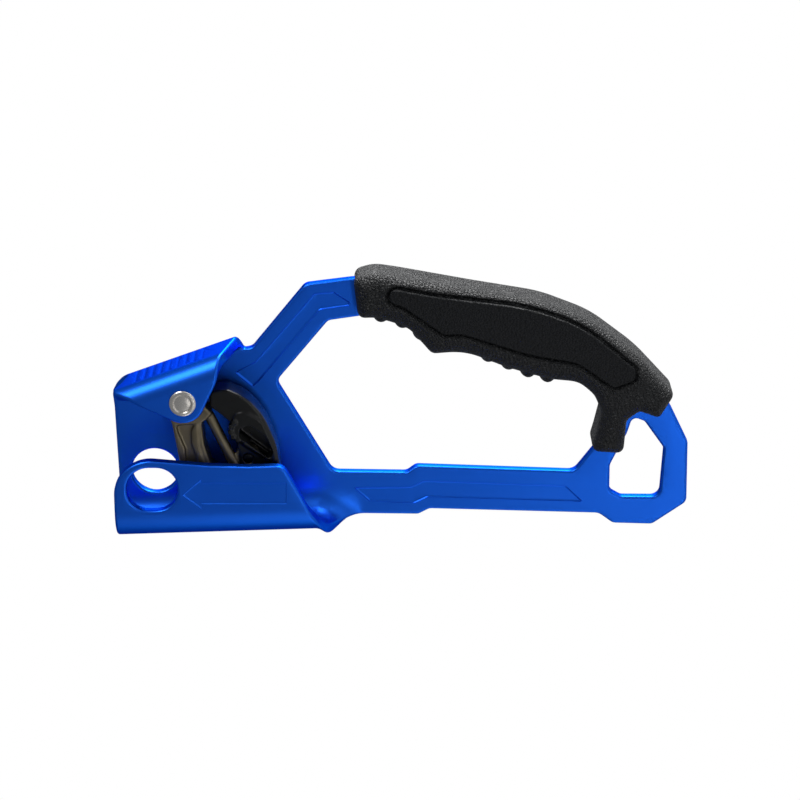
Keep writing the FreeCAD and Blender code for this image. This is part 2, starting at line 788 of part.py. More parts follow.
# catch_pin: steel pin pressed through the tongue, its ends flush with the catch.
catch_pin = turned(
    "catch_pin",
    "catch_pin",
    [
        (0.0, catch_front),
        (pin_radius - 0.3, catch_front),
        (pin_radius, catch_front + 0.3),
        (pin_radius, catch_back - 0.3),
        (pin_radius - 0.3, catch_back),
        (0.0, catch_back),
    ],
)


def torsion_spring(label, centre, wire, outside, start_y, turns, pitch, legs):
    """Coil about a line along Y with a straight leg at each end; legs are (length, length)."""
    helix = Part.makeHelix(pitch, pitch * turns, (outside - wire) / 2)
    first, last = helix.Edges[0], helix.Edges[-1]
    start = first.valueAt(first.FirstParameter)
    stop = last.valueAt(last.LastParameter)
    start_way = first.tangentAt(first.FirstParameter)
    stop_way = last.tangentAt(last.LastParameter)
    foot = start - start_way * legs[0]
    path = Part.Wire(
        [
            Part.LineSegment(foot, start).toShape(),
            *helix.Edges,
            Part.LineSegment(stop, stop + stop_way * legs[1]).toShape(),
        ]
    )
    section = Part.Wire(Part.makeCircle(wire / 2, foot, start_way))
    solid = path.makePipeShell([section], True, True)
    solid.rotate(Vector(0, 0, 0), Vector(1, 0, 0), -90)
    solid.translate(Vector(centre[0], start_y, centre[1]))
    spring = doc.addObject("Part::Feature", label)
    spring.Shape = solid
    spring.Label = label
    return spring


# cam_spring and catch_spring: spring steel torsion springs that close the cam and return the catch.
cam_spring = torsion_spring(
    "cam_spring",
    (size("axle_x"), size("axle_z")),
    size("cam_spring_wire"),
    size("cam_spring_diameter"),
    cam_back + side_gap + 0.6,
    2.25,
    1.15,
    (3.0, 3.0),
)
catch_spring = torsion_spring(
    "catch_spring",
    (size("catch_pin_x"), size("catch_pin_z")),
    size("catch_spring_wire"),
    size("catch_spring_diameter"),
    middle_y + tongue_half + 0.4,
    3.0,
    0.7,
    (0.4, 0.4),
)

# ---------------------------------------------------------------------------------------------------
# Grip: two rubber half shells joined by pegs through the arm, each with an inlay panel in its face
# ---------------------------------------------------------------------------------------------------
GRIP_OUTLINE = [
    (71.8, -69.9, 3.0),
    (73.8, -77.0, 12.0),
    (72.6, -85.0, 40.0),
    (67.8, -111.0, 80.0),
    (63.9, -134.0, 50.0),
    (57.1, -151.3, 40.0),
    (45.0, -167.2, 60.0),
    (30.2, -180.8, 2.5),
    (21.4, -175.7, 1.8),
    (24.0, -168.7, 2.0),
    (20.6, -164.5, 2.5),
    (8.4, -163.7, 2.5),
    (9.2, -152.0, 2.5),
    (15.5, -153.7, 6.0),
    (24.0, -155.6, 5.0),
    (30.0, -152.9, 8.0),
    (34.8, -147.5, 9.0),
    (35.8, -137.2, 12.0),
    (39.9, -123.0, 40.0),
    (45.9, -108.0, 30.0),
    (45.0, -96.8, 3.0),
    (54.6, -88.6, 12.0),
    (58.0, -78.0, 12.0),
    (57.8, -71.6, 2.5),
]
INLAY_OUTLINE = [
    (69.6, -82.6, 2.6),
    (66.7, -98.0, 60.0),
    (62.6, -130.0, 80.0),
    (55.6, -148.6, 50.0),
    (40.6, -166.6, 1.8),
    (36.9, -166.6, 1.6),
    (33.9, -159.4, 2.0),
    (43.0, -147.0, 16.0),
    (46.0, -130.0, 60.0),
    (53.4, -107.2, 3.0),
    (53.2, -100.8, 3.0),
    (63.4, -86.6, 8.0),
    (64.6, -82.0, 2.4),
]


def grip_half(label, inlay_label, face_y, split_y, outward, plate_y):
    """One shell and its inlay; outward is -1 on the front and +1 on the rear."""
    depth = abs(face_y - split_y)
    shell = new_body(label)
    outline = new_sketch(shell, f"{label}_outline", "XZ_Plane", side_offset(split_y))
    draw(outline, GRIP_OUTLINE)
    pad(shell, outline, f"{label}_block", depth, outward > 0)
    arm = new_sketch(shell, f"{label}_arm_outline", "XZ_Plane", side_offset(split_y))
    for corners in (PLATE_OUTLINE, HAND_WINDOW, TAIL_WINDOW):
        draw(arm, corners)
    hollow = pocket(shell, arm, f"{label}_arm_pocket", abs(plate_y - split_y), outward < 0)
    rim = [
        f"Edge{number}"
        for number, edge in enumerate(hollow.Shape.Edges, start=1)
        if edge.BoundBox.YLength < 0.01 and abs(edge.CenterOfMass.y - face_y) < 0.01
    ]
    crown = shell.newObject("PartDesign::Chamfer", f"{label}_crown")
    crown.Base = (hollow, rim)
    crown.setExpression("Size", "Sizes.grip_crown")
    doc.recompute()
    seat = new_sketch(shell, f"{label}_inlay_seat_outline", "XZ_Plane", side_offset(face_y + outward))
    draw(seat, INLAY_OUTLINE)
    pocket(shell, seat, f"{label}_inlay_seat", "Sizes.inlay_depth + 1", outward > 0)
    inlay = new_body(inlay_label)
    panel = new_sketch(
        inlay, f"{inlay_label}_outline", "XZ_Plane", side_offset(face_y - outward * size("inlay_depth"))
    )
    draw(panel, INLAY_OUTLINE)
    pad(inlay, panel, f"{inlay_label}_panel", "Sizes.inlay_depth + Sizes.inlay_rise", outward > 0)
    return shell, inlay


split = size("grip_split")
grip_front_shell, grip_front_inlay = grip_half(
    "grip_front_shell", "grip_front_inlay", split - size("grip_front_depth"), split, -1, 0.0
)
grip_rear_shell, grip_rear_inlay = grip_half(
    "grip_rear_shell", "grip_rear_inlay", split + size("grip_rear_depth"), split, 1, sheet_t
)
# Moulded pegs on the front shell pass through the arm into sockets in the rear shell.
for body, name, diameter, start, far in (
    (grip_front_shell, "pegs", "peg_diameter", -0.5, back + size("peg_reach")),
    (grip_rear_shell, "sockets", "peg_hole_diameter", split - 0.5, back + size("peg_reach") + 0.4),
):
    peg_sketch = new_sketch(
        body, f"{name}_outline", "XZ_Plane", side_offset(far if name == "pegs" else start)
    )
    for x, z in PEG_PLACES:
        draw_circle(peg_sketch, x, z, diameter)
    if name == "pegs":
        pad(body, peg_sketch, name, far - start)
    else:
        pocket(body, peg_sketch, name, far - start)

# ---------------------------------------------------------------------------------------------------
# Check and export
# ---------------------------------------------------------------------------------------------------
NODES = [
    frame,
    cam_axle,
    axle_washer,
    cam_spacer_front,
    cam_spacer_rear,
    cam_bush,
    cam,
    cam_spring,
    catch,
    catch_pin,
    catch_spring,
    grip_front_shell,
    grip_rear_shell,
    grip_front_inlay,
    grip_rear_inlay,
]
doc.recompute()
for thing in doc.Objects:
    assert "Invalid" not in thing.State and "Error" not in thing.State, f"{thing.Label} failed"
os.makedirs("parts", exist_ok=True)
for node in NODES:
    assert not node.Shape.isNull() and node.Shape.isValid(), f"{node.Label} is not a valid solid"
    node.Shape.exportStep(f"parts/{node.Label}.step")
    print(node.Label, len(node.Shape.Solids), round(node.Shape.Volume), node.Shape.BoundBox)
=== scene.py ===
import math

import bpy
import numpy as np
from mathutils import Matrix, Vector


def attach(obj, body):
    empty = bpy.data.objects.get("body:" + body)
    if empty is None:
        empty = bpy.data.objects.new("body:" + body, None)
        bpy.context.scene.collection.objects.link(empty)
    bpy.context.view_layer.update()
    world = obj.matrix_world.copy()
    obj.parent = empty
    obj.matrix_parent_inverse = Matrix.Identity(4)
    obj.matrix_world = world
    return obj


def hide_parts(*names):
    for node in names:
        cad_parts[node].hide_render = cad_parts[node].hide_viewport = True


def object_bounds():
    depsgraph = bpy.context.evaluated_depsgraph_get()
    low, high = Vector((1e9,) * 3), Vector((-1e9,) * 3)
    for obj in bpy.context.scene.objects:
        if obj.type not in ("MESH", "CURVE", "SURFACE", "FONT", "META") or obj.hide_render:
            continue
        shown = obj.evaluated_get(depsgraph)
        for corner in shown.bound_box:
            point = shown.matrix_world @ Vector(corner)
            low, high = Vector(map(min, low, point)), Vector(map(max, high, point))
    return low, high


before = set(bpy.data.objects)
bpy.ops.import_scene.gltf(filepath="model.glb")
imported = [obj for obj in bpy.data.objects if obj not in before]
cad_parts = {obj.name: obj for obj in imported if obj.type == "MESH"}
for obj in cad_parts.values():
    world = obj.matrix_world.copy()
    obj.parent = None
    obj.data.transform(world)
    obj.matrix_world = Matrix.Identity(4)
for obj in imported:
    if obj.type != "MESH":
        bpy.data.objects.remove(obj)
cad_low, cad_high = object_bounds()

MM = 0.001

# ------------------------------------------------------------------------------------------------
# Studio: the camera, a pale floor some way below the hanging device, a white room and five soft
# lights: a key above the head end, a soft box overhead, a weak one behind the fold for its web, a
# fill in front and a low fill.
# ------------------------------------------------------------------------------------------------
VIEW_LEAN = math.radians(20.0)
VIEW_RIGHT = Vector((0, 0, -1))
VIEW_UP = Vector((math.cos(VIEW_LEAN), math.sin(VIEW_LEAN), 0))
VIEW_BACK = Vector((math.sin(VIEW_LEAN), -math.cos(VIEW_LEAN), 0))
VIEW_CENTRE = Vector((0.0264, 0, -0.0859))
VIEW_DISTANCE = 0.9
LENS, SENSOR = 116.6, 36.0

camera_data = bpy.data.cameras.new("camera")
camera_data.lens = LENS
camera_data.sensor_width = SENSOR
camera = bpy.data.objects.new("camera", camera_data)
bpy.context.scene.collection.objects.link(camera)
axes = Matrix((VIEW_RIGHT, VIEW_UP, VIEW_BACK)).transposed().to_4x4()
camera.matrix_world = Matrix.Translation(VIEW_CENTRE + VIEW_BACK * VIEW_DISTANCE) @ axes
bpy.context.scene.camera = camera


def linear(code):
    """Linear colour of an sRGB hex code."""
    parts = [int(code[i:i + 2], 16) / 255 for i in (0, 2, 4)]
    return [p / 12.92 if p <= 0.04045 else ((p + 0.055) / 1.055) ** 2.4 for p in parts] + [1.0]


def add_node(tree, kind, settings=None, links=None, **values):
    """Node of one kind: its own settings, links into its inputs, and constants on its inputs."""
    node = tree.nodes.new(kind)
    for name, value in (settings or {}).items():
        setattr(node, name, value)
    for name, value in values.items():
        node.inputs[name.replace("_", " ")].default_value = value
    for name, socket in (links or {}).items():
        tree.links.new(socket, node.inputs[name])
    return node


def soft_light(name, right, up, back, distance, width, height, watts):
    """Area light in a direction given along the camera's axes, facing the middle of the device."""
    light = bpy.data.lights.new(name, "AREA")
    light.shape, light.size, light.size_y, light.energy = "RECTANGLE", width, height, watts
    box = bpy.data.objects.new(name, light)
    bpy.context.scene.collection.objects.link(box)
    way = (VIEW_RIGHT * right + VIEW_UP * up + VIEW_BACK * back).normalized()
    box.location = VIEW_CENTRE + way * distance
    box.rotation_euler = way.to_track_quat("Z", "Y").to_euler()


# Each light's direction (right, up, back), its distance, width and height in metres, and its watts.
soft_light("key_light", -0.5, 0.66, 0.56, 0.9, 0.5, 0.36, 4.0)
soft_light("overhead_light", 0.15, 0.97, -0.2, 0.9, 0.9, 0.4, 13.0)
soft_light("web_light", -0.22, 0.62, -0.76, 0.9, 0.5, 0.35, 0.8)
soft_light("front_fill", 0.45, -0.45, 0.77, 1.1, 0.8, 0.5, 6.0)
soft_light("low_fill", 0.1, -0.98, 0.1, 1.0, 0.9, 0.4, 1.2)

world = bpy.data.worlds.new("white_room")
bpy.context.scene.world = world
world.use_nodes = True
tree = world.node_tree
tree.nodes.clear()
room_light = add_node(tree, "ShaderNodeBackground", Color=linear("E6EAF0"), Strength=0.30)
room_seen = add_node(tree, "ShaderNodeBackground", Color=linear("FFFFFF"), Strength=1.0)
light_path = add_node(tree, "ShaderNodeLightPath")
room = add_node(tree, "ShaderNodeMixShader", links={0: light_path.outputs["Is Camera Ray"]})
tree.links.new(room_light.outputs[0], room.inputs[1])
tree.links.new(room_seen.outputs[0], room.inputs[2])
add_node(tree, "ShaderNodeOutputWorld", links={"Surface": room.outputs[0]})
bpy.context.scene.view_settings.view_transform = "Standard"


def deselect():
    """Leave object mode with nothing selected."""
    if bpy.context.mode != "OBJECT":
        bpy.ops.object.mode_set(mode="OBJECT")
    bpy.ops.object.select_all(action="DESELECT")


def pick(*pieces):
    """Select only these pieces, the first of them active."""
    deselect()
    for piece in pieces:
        piece.select_set(True)
    bpy.context.view_layer.objects.active = pieces[0]


def new_material(name, **values):
    """Material with a Principled shader whose constants sit on its own sockets."""
    material = bpy.data.materials.new(name)
    material.use_nodes = True
    tree = material.node_tree
    tree.nodes.clear()
    shader = add_node(tree, "ShaderNodeBsdfPrincipled", **values)
    add_node(tree, "ShaderNodeOutputMaterial", links={"Surface": shader.outputs[0]})
    return material, tree, shader


def noise_on(tree, per_metre, detail=2.0):
    """Noise in the piece's own coordinates, so many spots to the metre."""
    spot = add_node(tree, "ShaderNodeTexCoord")
    place = {"Vector": spot.outputs["Object"]}
    noise = add_node(tree, "ShaderNodeTexNoise", None, place, Scale=per_metre, Detail=detail)
    return noise.outputs["Fac"]


def two_tone(tree, shader, share, first, second):
    """Base colour that runs between two hex codes with a share."""
    mix = add_node(tree, "ShaderNodeMix", {"data_type": "RGBA"}, {0: share})
    mix.inputs[6].default_value = linear(first)
    mix.inputs[7].default_value = linear(second)
    tree.links.new(mix.outputs[2], shader.inputs["Base Color"])


def wear(piece, material):
    """Give a piece one material all over."""
    piece.data.materials.clear()
    piece.data.materials.append(material)


# Painted board: matt, faintly mottled, so that the shadow stays soft.
MOTTLES_PER_METRE = 14.0
floor_paint, tree, shader = new_material("painted_board", Roughness=0.9)
two_tone(tree, shader, noise_on(tree, MOTTLES_PER_METRE), "EFEFEF", "F6F6F6")
FLOOR_DROP, FLOOR_RADIUS = 0.26, 1.2
deselect()
bpy.ops.mesh.primitive_circle_add(
    vertices=96,
    radius=FLOOR_RADIUS,
    fill_type="NGON",
    location=(VIEW_CENTRE.x, 0, cad_low.z - FLOOR_DROP),
)
floor = bpy.context.object
floor.name = "floor"
wear(floor, floor_paint)

# ------------------------------------------------------------------------------------------------
# Frame: one blank cut from 4 mm aluminium sheet, its edges tumbled round, its panels and arrow
# coined, then bent twice: round the rope channel and over the cam. Blue anodised all over.
# ------------------------------------------------------------------------------------------------
SHEET = 4.0
MIDDLE = SHEET / 2
EDGE = 0.9
BEND_X = -6.6
CHANNEL_RADIUS = 10.0
CHANNEL_TURN = math.pi * CHANNEL_RADIUS
LINE_SHIFT, LINE_LEAN, LINE_PIVOT = -0.3, 0.033, -15.0
FLARE_TOP, FLARE_END = -56.5, -73.0
FOLD_LEAN = math.radians(20.1)
FOLD_COS, FOLD_SIN = math.cos(FOLD_LEAN), math.sin(FOLD_LEAN)
FOLD_START = 31.0
REAR_RADIUS, FRONT_RADIUS = 4.0, 4.5
WEB = 11.5
REAR_TURN = FOLD_START + REAR_RADIUS * math.pi / 2
WEB_END = REAR_TURN + WEB
FRONT_TURN = WEB_END + FRONT_RADIUS * math.pi / 2
FLAP_TURN = FRONT_TURN + FOLD_START + REAR_RADIUS - FRONT_RADIUS
FOLD_TAIL = -46.0


def from_fold(n, s, *radius):
    """Blank point (x, z) from fold directions: n out across the fold line, s along it to the head."""
    return (FOLD_COS * n - FOLD_SIN * s, FOLD_SIN * n + FOLD_COS * s, *radius)


def to_fold(x, z):
    """Fold directions (n, s) of a blank point."""
    return FOLD_COS * x + FOLD_SIN * z, -FOLD_SIN * x + FOLD_COS * z


def line_shift(z):
    """How far the channel's bend line, which leans a little, stands from BEND_X at a height."""
    return LINE_SHIFT - LINE_LEAN * (z - LINE_PIVOT)


def on_upper_flap(x, z, *radius):
    """Blank point of a place on the bent upper flap, given in the finished frame."""
    n, s = to_fold(x, z)
    return from_fold(FLAP_TURN - n, s, *radius)


def on_lower_flap(x, z, *radius):
    """Blank point of a place on the channel's flap, given in the finished frame."""
    return (BEND_X - CHANNEL_TURN - (x - BEND_X) + 2 * line_shift(z), z, *radius)


# Outlines are corners (x, z, radius) in mm in the side view; the blank is the sheet before bending.
BLANK = [
    (-6.6, 12.6, 30.0),
    (24.0, 13.4, 20.0),
    (28.8, 13.9, 1.2),
    from_fold(33.6, 0.8, 2.5),
    from_fold(REAR_TURN, -4.8, 2.5),
    from_fold(WEB_END - 5.0, -2.8, 6.0),
    from_fold(WEB_END + 1.0, 0.2, 2.5),
    from_fold(FLAP_TURN - 30.7, -7.7, 12.0),
    from_fold(FLAP_TURN - 15.7, -22.3, 7.6),
    from_fold(FLAP_TURN - 29.0, -35.8, 14.0),
    from_fold(WEB_END, -41.0, 3.0),
    from_fold(REAR_TURN, -44.8, 8.0),
    from_fold(31.2, -45.6, 0.8),
    (45.5, -34.9, 3.0),
    (68.4, -53.4, 3.5),
    (70.8, -72.0, 30.0),
    (66.0, -112.0, 60.0),
    (61.0, -138.0, 40.0),
    (44.7, -162.0, 30.0),
    (24.6, -179.7, 12.0),
    (10.6, -186.5, 3.0),
    (-11.9, -186.9, 3.0),
    (-20.4, -175.0, 3.0),
    (-20.0, -161.0, 3.5),
    (-16.2, -156.0, 4.0),
    (-14.5, -96.3, 3.0),
    (-16.6, -92.4, 3.0),
    (-16.3, -66.0, 13.0),
    on_lower_flap(-6.6, -54.3, 40.0),
    on_lower_flap(9.4, -46.0, 4.5),
    on_lower_flap(9.1, -33.0, 30.0),
    on_lower_flap(9.5, -20.0, 60.0),
    on_lower_flap(12.4, 12.5, 12.0),
]
HAND_WINDOW = [
    (59.6, -79.5, 6.0),
    (56.9, -72.0, 5.0),
    (55.3, -61.2, 3.0),
    (33.2, -43.1, 3.2),
    (-0.4, -62.4, 4.0),
    (-0.8, -88.2, 3.0),
    (1.7, -91.5, 3.0),
    (-0.3, -146.9, 4.0),
    (19.0, -161.3, 6.0),
    (37.5, -154.0, 8.0),
    (46.5, -134.0, 30.0),
    (54.0, -104.0, 40.0),
]
TAIL_WINDOW = [
    (20.0, -167.0, 2.2),
    (13.9, -165.2, 6.0),
    (2.0, -159.5, 4.0),
    (-7.6, -159.6, 2.5),
    (-9.9, -163.7, 2.5),
    (-10.0, -177.2, 3.2),
    (8.4, -178.2, 3.0),
    (18.3, -171.2, 2.2),
]
ARM_PANEL = [
    (36.4, -28.8, 0.4),
    (31.2, -34.8, 0.4),
    (32.8, -36.7, 0.4),
    (59.3, -58.4, 2.0),
    (60.8, -68.4, 0.4),
    (62.1, -68.8, 0.4),
    (65.8, -63.3, 0.4),
    (65.1, -56.4, 1.5),
    (40.5, -35.9, 2.0),
    (37.4, -30.0, 0.4),
]
BAR_PANEL = [
    (-6.3, -69.3, 0.4),
    (-11.6, -75.0, 0.4),
    (-12.4, -90.8, 2.0),
    (-10.0, -95.6, 2.0),
    (-11.8, -150.6, 0.4),
    (-5.7, -144.3, 0.4),
    (-3.7, -94.2, 2.0),
    (-6.1, -89.5, 2.0),
]
ARROW = [
    (-1.2, -10.9),
    (4.9, -17.9),
    (3.4, -17.9),
    (3.4, -47.0),
    (-4.5, -47.0),
    (-4.5, -17.9),
    (-6.7, -17.9),
]
CHORD = 1.2
ARC_STEP = math.radians(12.0)
CORNER_SHARE = 0.49


def rounded(corners):
    """Closed line (x, z) through corners (x, z, radius), each corner an arc."""
    line = []
    count = len(corners)
    for i, corner in enumerate(corners):
        here = Vector(corner[:2])
        before, after = Vector(corners[i - 1][:2]), Vector(corners[(i + 1) % count][:2])
        radius = corner[2] if len(corner) > 2 else 0.0
        if radius == 0.0:
            line.append(here)
            continue
        to_before, to_after = (before - here).normalized(), (after - here).normalized()
        half = to_before.angle(to_after) / 2
        shorter = min((before - here).length, (after - here).length)
        reach = min(radius / math.tan(half), shorter * CORNER_SHARE)
        radius = reach * math.tan(half)
        centre = here + (to_before + to_after).normalized() * (radius / math.sin(half))
        start, stop = here + to_before * reach, here + to_after * reach
        sweep = math.pi - 2 * half
        steps = max(2, math.ceil(sweep / ARC_STEP), math.ceil(radius * sweep / CHORD))
        arm = start - centre
        side = 1 if arm.cross(stop - centre) > 0 else -1
        for step in range(steps + 1):
            turn = side * sweep * step / steps
            line.append(centre + Matrix.Rotation(turn, 2) @ arm)
    return line


def ring(x, z, radius, steps=48):
    """Closed line round a hole."""
    turns = [2 * math.pi * step / steps for step in range(steps)]
    return [Vector((x + radius * math.cos(turn), z + radius * math.sin(turn))) for turn in turns]


def cut_plate(name, lines, front, rear, edge, steps=3):
    """Flat plate between two depths, its rims rounded by edge; the lines after the first are holes."""
    curve = bpy.data.curves.new(name, "CURVE")
    curve.dimensions = "2D"
    curve.fill_mode = "BOTH"
    for line in lines:
        spline = curve.splines.new("POLY")
        spline.points.add(len(line) - 1)
        for point, place in zip(spline.points, line):
            point.co = (place[0] * MM, place[1] * MM, 0, 1)
        spline.use_cyclic_u = True
    curve.extrude = ((rear - front) / 2 - edge) * MM
    curve.bevel_depth = edge * MM
    curve.bevel_resolution = steps - 1
    curve.offset = -edge * MM
    plate = bpy.data.objects.new(name, curve)
    bpy.context.scene.collection.objects.link(plate)
    plate.rotation_euler = (math.pi / 2, 0, 0)
    plate.location = (0, (front + rear) / 2 * MM, 0)
    pick(plate)
    bpy.ops.object.convert(target="MESH")
    plate = bpy.context.object
    bpy.ops.object.transform_apply(location=True, rotation=True, scale=True)
    bpy.ops.object.mode_set(mode="EDIT")
    bpy.ops.mesh.select_all(action="SELECT")
    bpy.ops.mesh.remove_doubles(threshold=0.00001)
    bpy.ops.mesh.normals_make_consistent(inside=False)
    bpy.ops.object.mode_set(mode="OBJECT")
    return plate


def cut_away(piece, tools):
    """Cut tools out of a piece, one after another."""
    for tool in tools:
        pick(piece)
        step = piece.modifiers.new("cut", "BOOLEAN")
        step.operation, step.solver, step.object = "DIFFERENCE", "EXACT", tool
        bpy.ops.object.modifier_apply(modifier=step.name)
        bpy.data.objects.remove(tool)


def ease(share):
    """Smooth start and stop for a share that runs from 0 to 1."""
    return share * share * (3 - 2 * share)


# Below this share of closing, the flare is as good as flat.
NEARLY_FLAT = 0.002


def bent(x, y, z):
    """Place in the finished frame of a point of the flat blank: flare and channel, then the fold."""
    off = y - MIDDLE
    bend_line = BEND_X + line_shift(z)
    if x < bend_line:
        closed = 1 - ease(min(max((FLARE_TOP - z) / (FLARE_TOP - FLARE_END), 0.0), 1.0))
        round_bend = bend_line - x
        if closed < NEARLY_FLAT:
            return x, y, z
        radius = CHANNEL_RADIUS / closed
        turn = min(round_bend / radius, math.pi)
        straight = round_bend - turn * radius
        return (
            bend_line - (radius + off) * math.sin(turn) + straight,
            MIDDLE - radius + (radius + off) * math.cos(turn),
            z,
        )
    n, s = to_fold(x, z)
    if n <= FOLD_START or s < FOLD_TAIL:
        return x, y, z
    if n < REAR_TURN:
        turn = (n - FOLD_START) / REAR_RADIUS
        reach = FOLD_START + (REAR_RADIUS + off) * math.sin(turn)
        depth = MIDDLE - REAR_RADIUS + (REAR_RADIUS + off) * math.cos(turn)
    elif n < WEB_END:
        reach = FOLD_START + REAR_RADIUS + off
        depth = MIDDLE - REAR_RADIUS - (n - REAR_TURN)
    elif n < FRONT_TURN:
        turn = (n - WEB_END) / FRONT_RADIUS
        reach = FOLD_START + REAR_RADIUS - FRONT_RADIUS + (FRONT_RADIUS + off) * math.cos(turn)
        depth = MIDDLE - REAR_RADIUS - WEB - (FRONT_RADIUS + off) * math.sin(turn)
    else:
        reach = FOLD_START + REAR_RADIUS - FRONT_RADIUS - (n - FRONT_TURN)
        depth = MIDDLE - REAR_RADIUS - WEB - FRONT_RADIUS - off
    x, z, *_ = from_fold(reach, s)
    return x, depth, z


def slice_across(piece, places, way):
    """Cut lines across a piece, so that it can bend there."""
    pick(piece)
    bpy.ops.object.mode_set(mode="EDIT")
    for x, z in places:
        bpy.ops.mesh.select_all(action="SELECT")
        bpy.ops.mesh.bisect(plane_co=(x * MM, 0, z * MM), plane_no=way)
    bpy.ops.object.mode_set(mode="OBJECT")


def weigh_normals(piece, degrees):
    """Smooth shading that keeps flat faces flat beside rounded edges."""
    pick(piece)
    bpy.ops.object.shade_smooth_by_angle(angle=math.radians(degrees))
    step = piece.modifiers.new("weigh", "WEIGHTED_NORMAL")
    step.keep_sharp = True
    bpy.ops.object.modifier_apply(modifier=step.name)


# The carabiner's hole is round in the plate and oblong in the flap; the axle's holes are both round.
HOLE_RADIUS, AXLE_RADIUS = 8.15, 3.0
SLOT_CENTRE, SLOT_HALF_WIDTH, SLOT_HALF_LENGTH, SLOT_CORNER = (0.7, -0.7), 7.9, 8.75, 7.8
flap_hole = [
    on_lower_flap(
        SLOT_CENTRE[0] + side * SLOT_HALF_WIDTH, SLOT_CENTRE[1] + end * SLOT_HALF_LENGTH, SLOT_CORNER
    )
    for side, end in ((-1, -1), (1, -1), (1, 1), (-1, 1))
]
AXLE = (32.5, -12.1)
frame_plate = cut_plate(
    "frame_plate",
    [
        rounded(BLANK),
        rounded(HAND_WINDOW),
        rounded(TAIL_WINDOW),
        ring(0, 0, HOLE_RADIUS),
        rounded(flap_hole),
        ring(*AXLE, AXLE_RADIUS),
        ring(*on_upper_flap(*AXLE), AXLE_RADIUS),
    ],
    0.0,
    SHEET,
    EDGE,
)
PANEL_DEPTH, PANEL_EDGE = 0.5, 0.7
ARROW_DEPTH, ARROW_EDGE = 0.3, 0.6
# How far a tool starts outside the sheet or the moulding that it cuts.
PUNCH = 1.5
arrow_line = [on_lower_flap(*corner) for corner in ARROW]
coins = [
    cut_plate("coin", [rounded(ARM_PANEL)], -PUNCH, PANEL_DEPTH, PANEL_EDGE),
    cut_plate("coin", [rounded(BAR_PANEL)], -PUNCH, PANEL_DEPTH, PANEL_EDGE),
    cut_plate("coin", [arrow_line], SHEET - ARROW_DEPTH, SHEET + PUNCH, ARROW_EDGE),
]
# Nine shallow grooves pressed across the top of the fold.
GROOVES, GROOVE_PITCH, GROOVE_FIRST = 9, 3.05, -8.8
GROOVE_RADIUS, GROOVE_DEPTH, GROOVE_SHIFT, GROOVE_EXTRA = 2.6, 0.09, 0.8, 1.0
for number in range(GROOVES):
    deselect()
    along = GROOVE_FIRST - GROOVE_PITCH * number
    x, z = from_fold((REAR_TURN + WEB_END) / 2 - GROOVE_SHIFT, along)
    bpy.ops.mesh.primitive_cylinder_add(
        vertices=32,
        radius=GROOVE_RADIUS * MM,
        depth=(WEB + GROOVE_EXTRA) * MM,
        location=(x * MM, (SHEET + GROOVE_RADIUS - GROOVE_DEPTH) * MM, z * MM),
        rotation=(0, math.pi / 2 - FOLD_LEAN, 0),
    )
    coins.append(bpy.context.object)
cut_away(frame_plate, coins)

# The flat plate is cut across wherever it will bend, and then every point is taken to its bent place.
FOLD_STEP, CHANNEL_STEP = math.radians(7.5), math.radians(6.0)
FLARE_CUTS, FLARE_MARGIN = 24, 2
fold_way = Vector((FOLD_COS, 0, FOLD_SIN))
places = []
for start, stop, radius in ((FOLD_START, REAR_TURN, REAR_RADIUS), (WEB_END, FRONT_TURN, FRONT_RADIUS)):
    cuts = round((stop - start) / radius / FOLD_STEP)
    places += [from_fold(start + (stop - start) * i / cuts, 0.0) for i in range(cuts + 1)]
slice_across(frame_plate, places, fold_way)
cuts = round(math.pi / CHANNEL_STEP)
places = [(BEND_X + line_shift(0.0) - CHANNEL_TURN * i / cuts, 0.0) for i in range(cuts + 1)]
slice_across(frame_plate, places, Vector((1, 0, LINE_LEAN)))
flare_length = FLARE_TOP - FLARE_END + 2 * FLARE_MARGIN
flare_start = FLARE_TOP + FLARE_MARGIN
places = [(0.0, flare_start - flare_length * i / FLARE_CUTS) for i in range(FLARE_CUTS + 1)]
slice_across(frame_plate, places, Vector((0, 0, 1)))
for vertex in frame_plate.data.vertices:
    vertex.co = Vector(bent(*(vertex.co / MM))) * MM
weigh_normals(frame_plate, 40)
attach(frame_plate, "root")
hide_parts("frame")


def rough_between(tree, shader, share, low, high):
    """Roughness that runs between two values with a share."""
    spread = add_node(tree, "ShaderNodeMapRange", links={"Value": share}, To_Min=low, To_Max=high)
    tree.links.new(spread.outputs[0], shader.inputs["Roughness"])


def relief(tree, shader, height, strength, depth, invert=False):
    """Fine relief from a pattern, its depth in mm."""
    bump = add_node(
        tree,
        "ShaderNodeBump",
        {"invert": invert},
        {"Height": height},
        Strength=strength,
        Distance=depth * MM,
    )
    tree.links.new(bump.outputs[0], shader.inputs["Normal"])


# Anodised aluminium: bead-blasted and dyed blue, so it is a satin metal whose highlights stay blue.
BLAST_GRAIN = 0.35
CLOUDS_PER_METRE = 60.0
anodised, tree, shader = new_material("anodised_aluminium", Metallic=1.0, Specular_Tint=linear("4C86F0"))
grain = noise_on(tree, 1 / (BLAST_GRAIN * MM))
two_tone(tree, shader, noise_on(tree, CLOUDS_PER_METRE, 3.0), "1B60DC", "1F66E4")
rough_between(tree, shader, grain, 0.33, 0.43)
relief(tree, shader, grain, 0.12, 0.05)
wear(frame_plate, anodised)

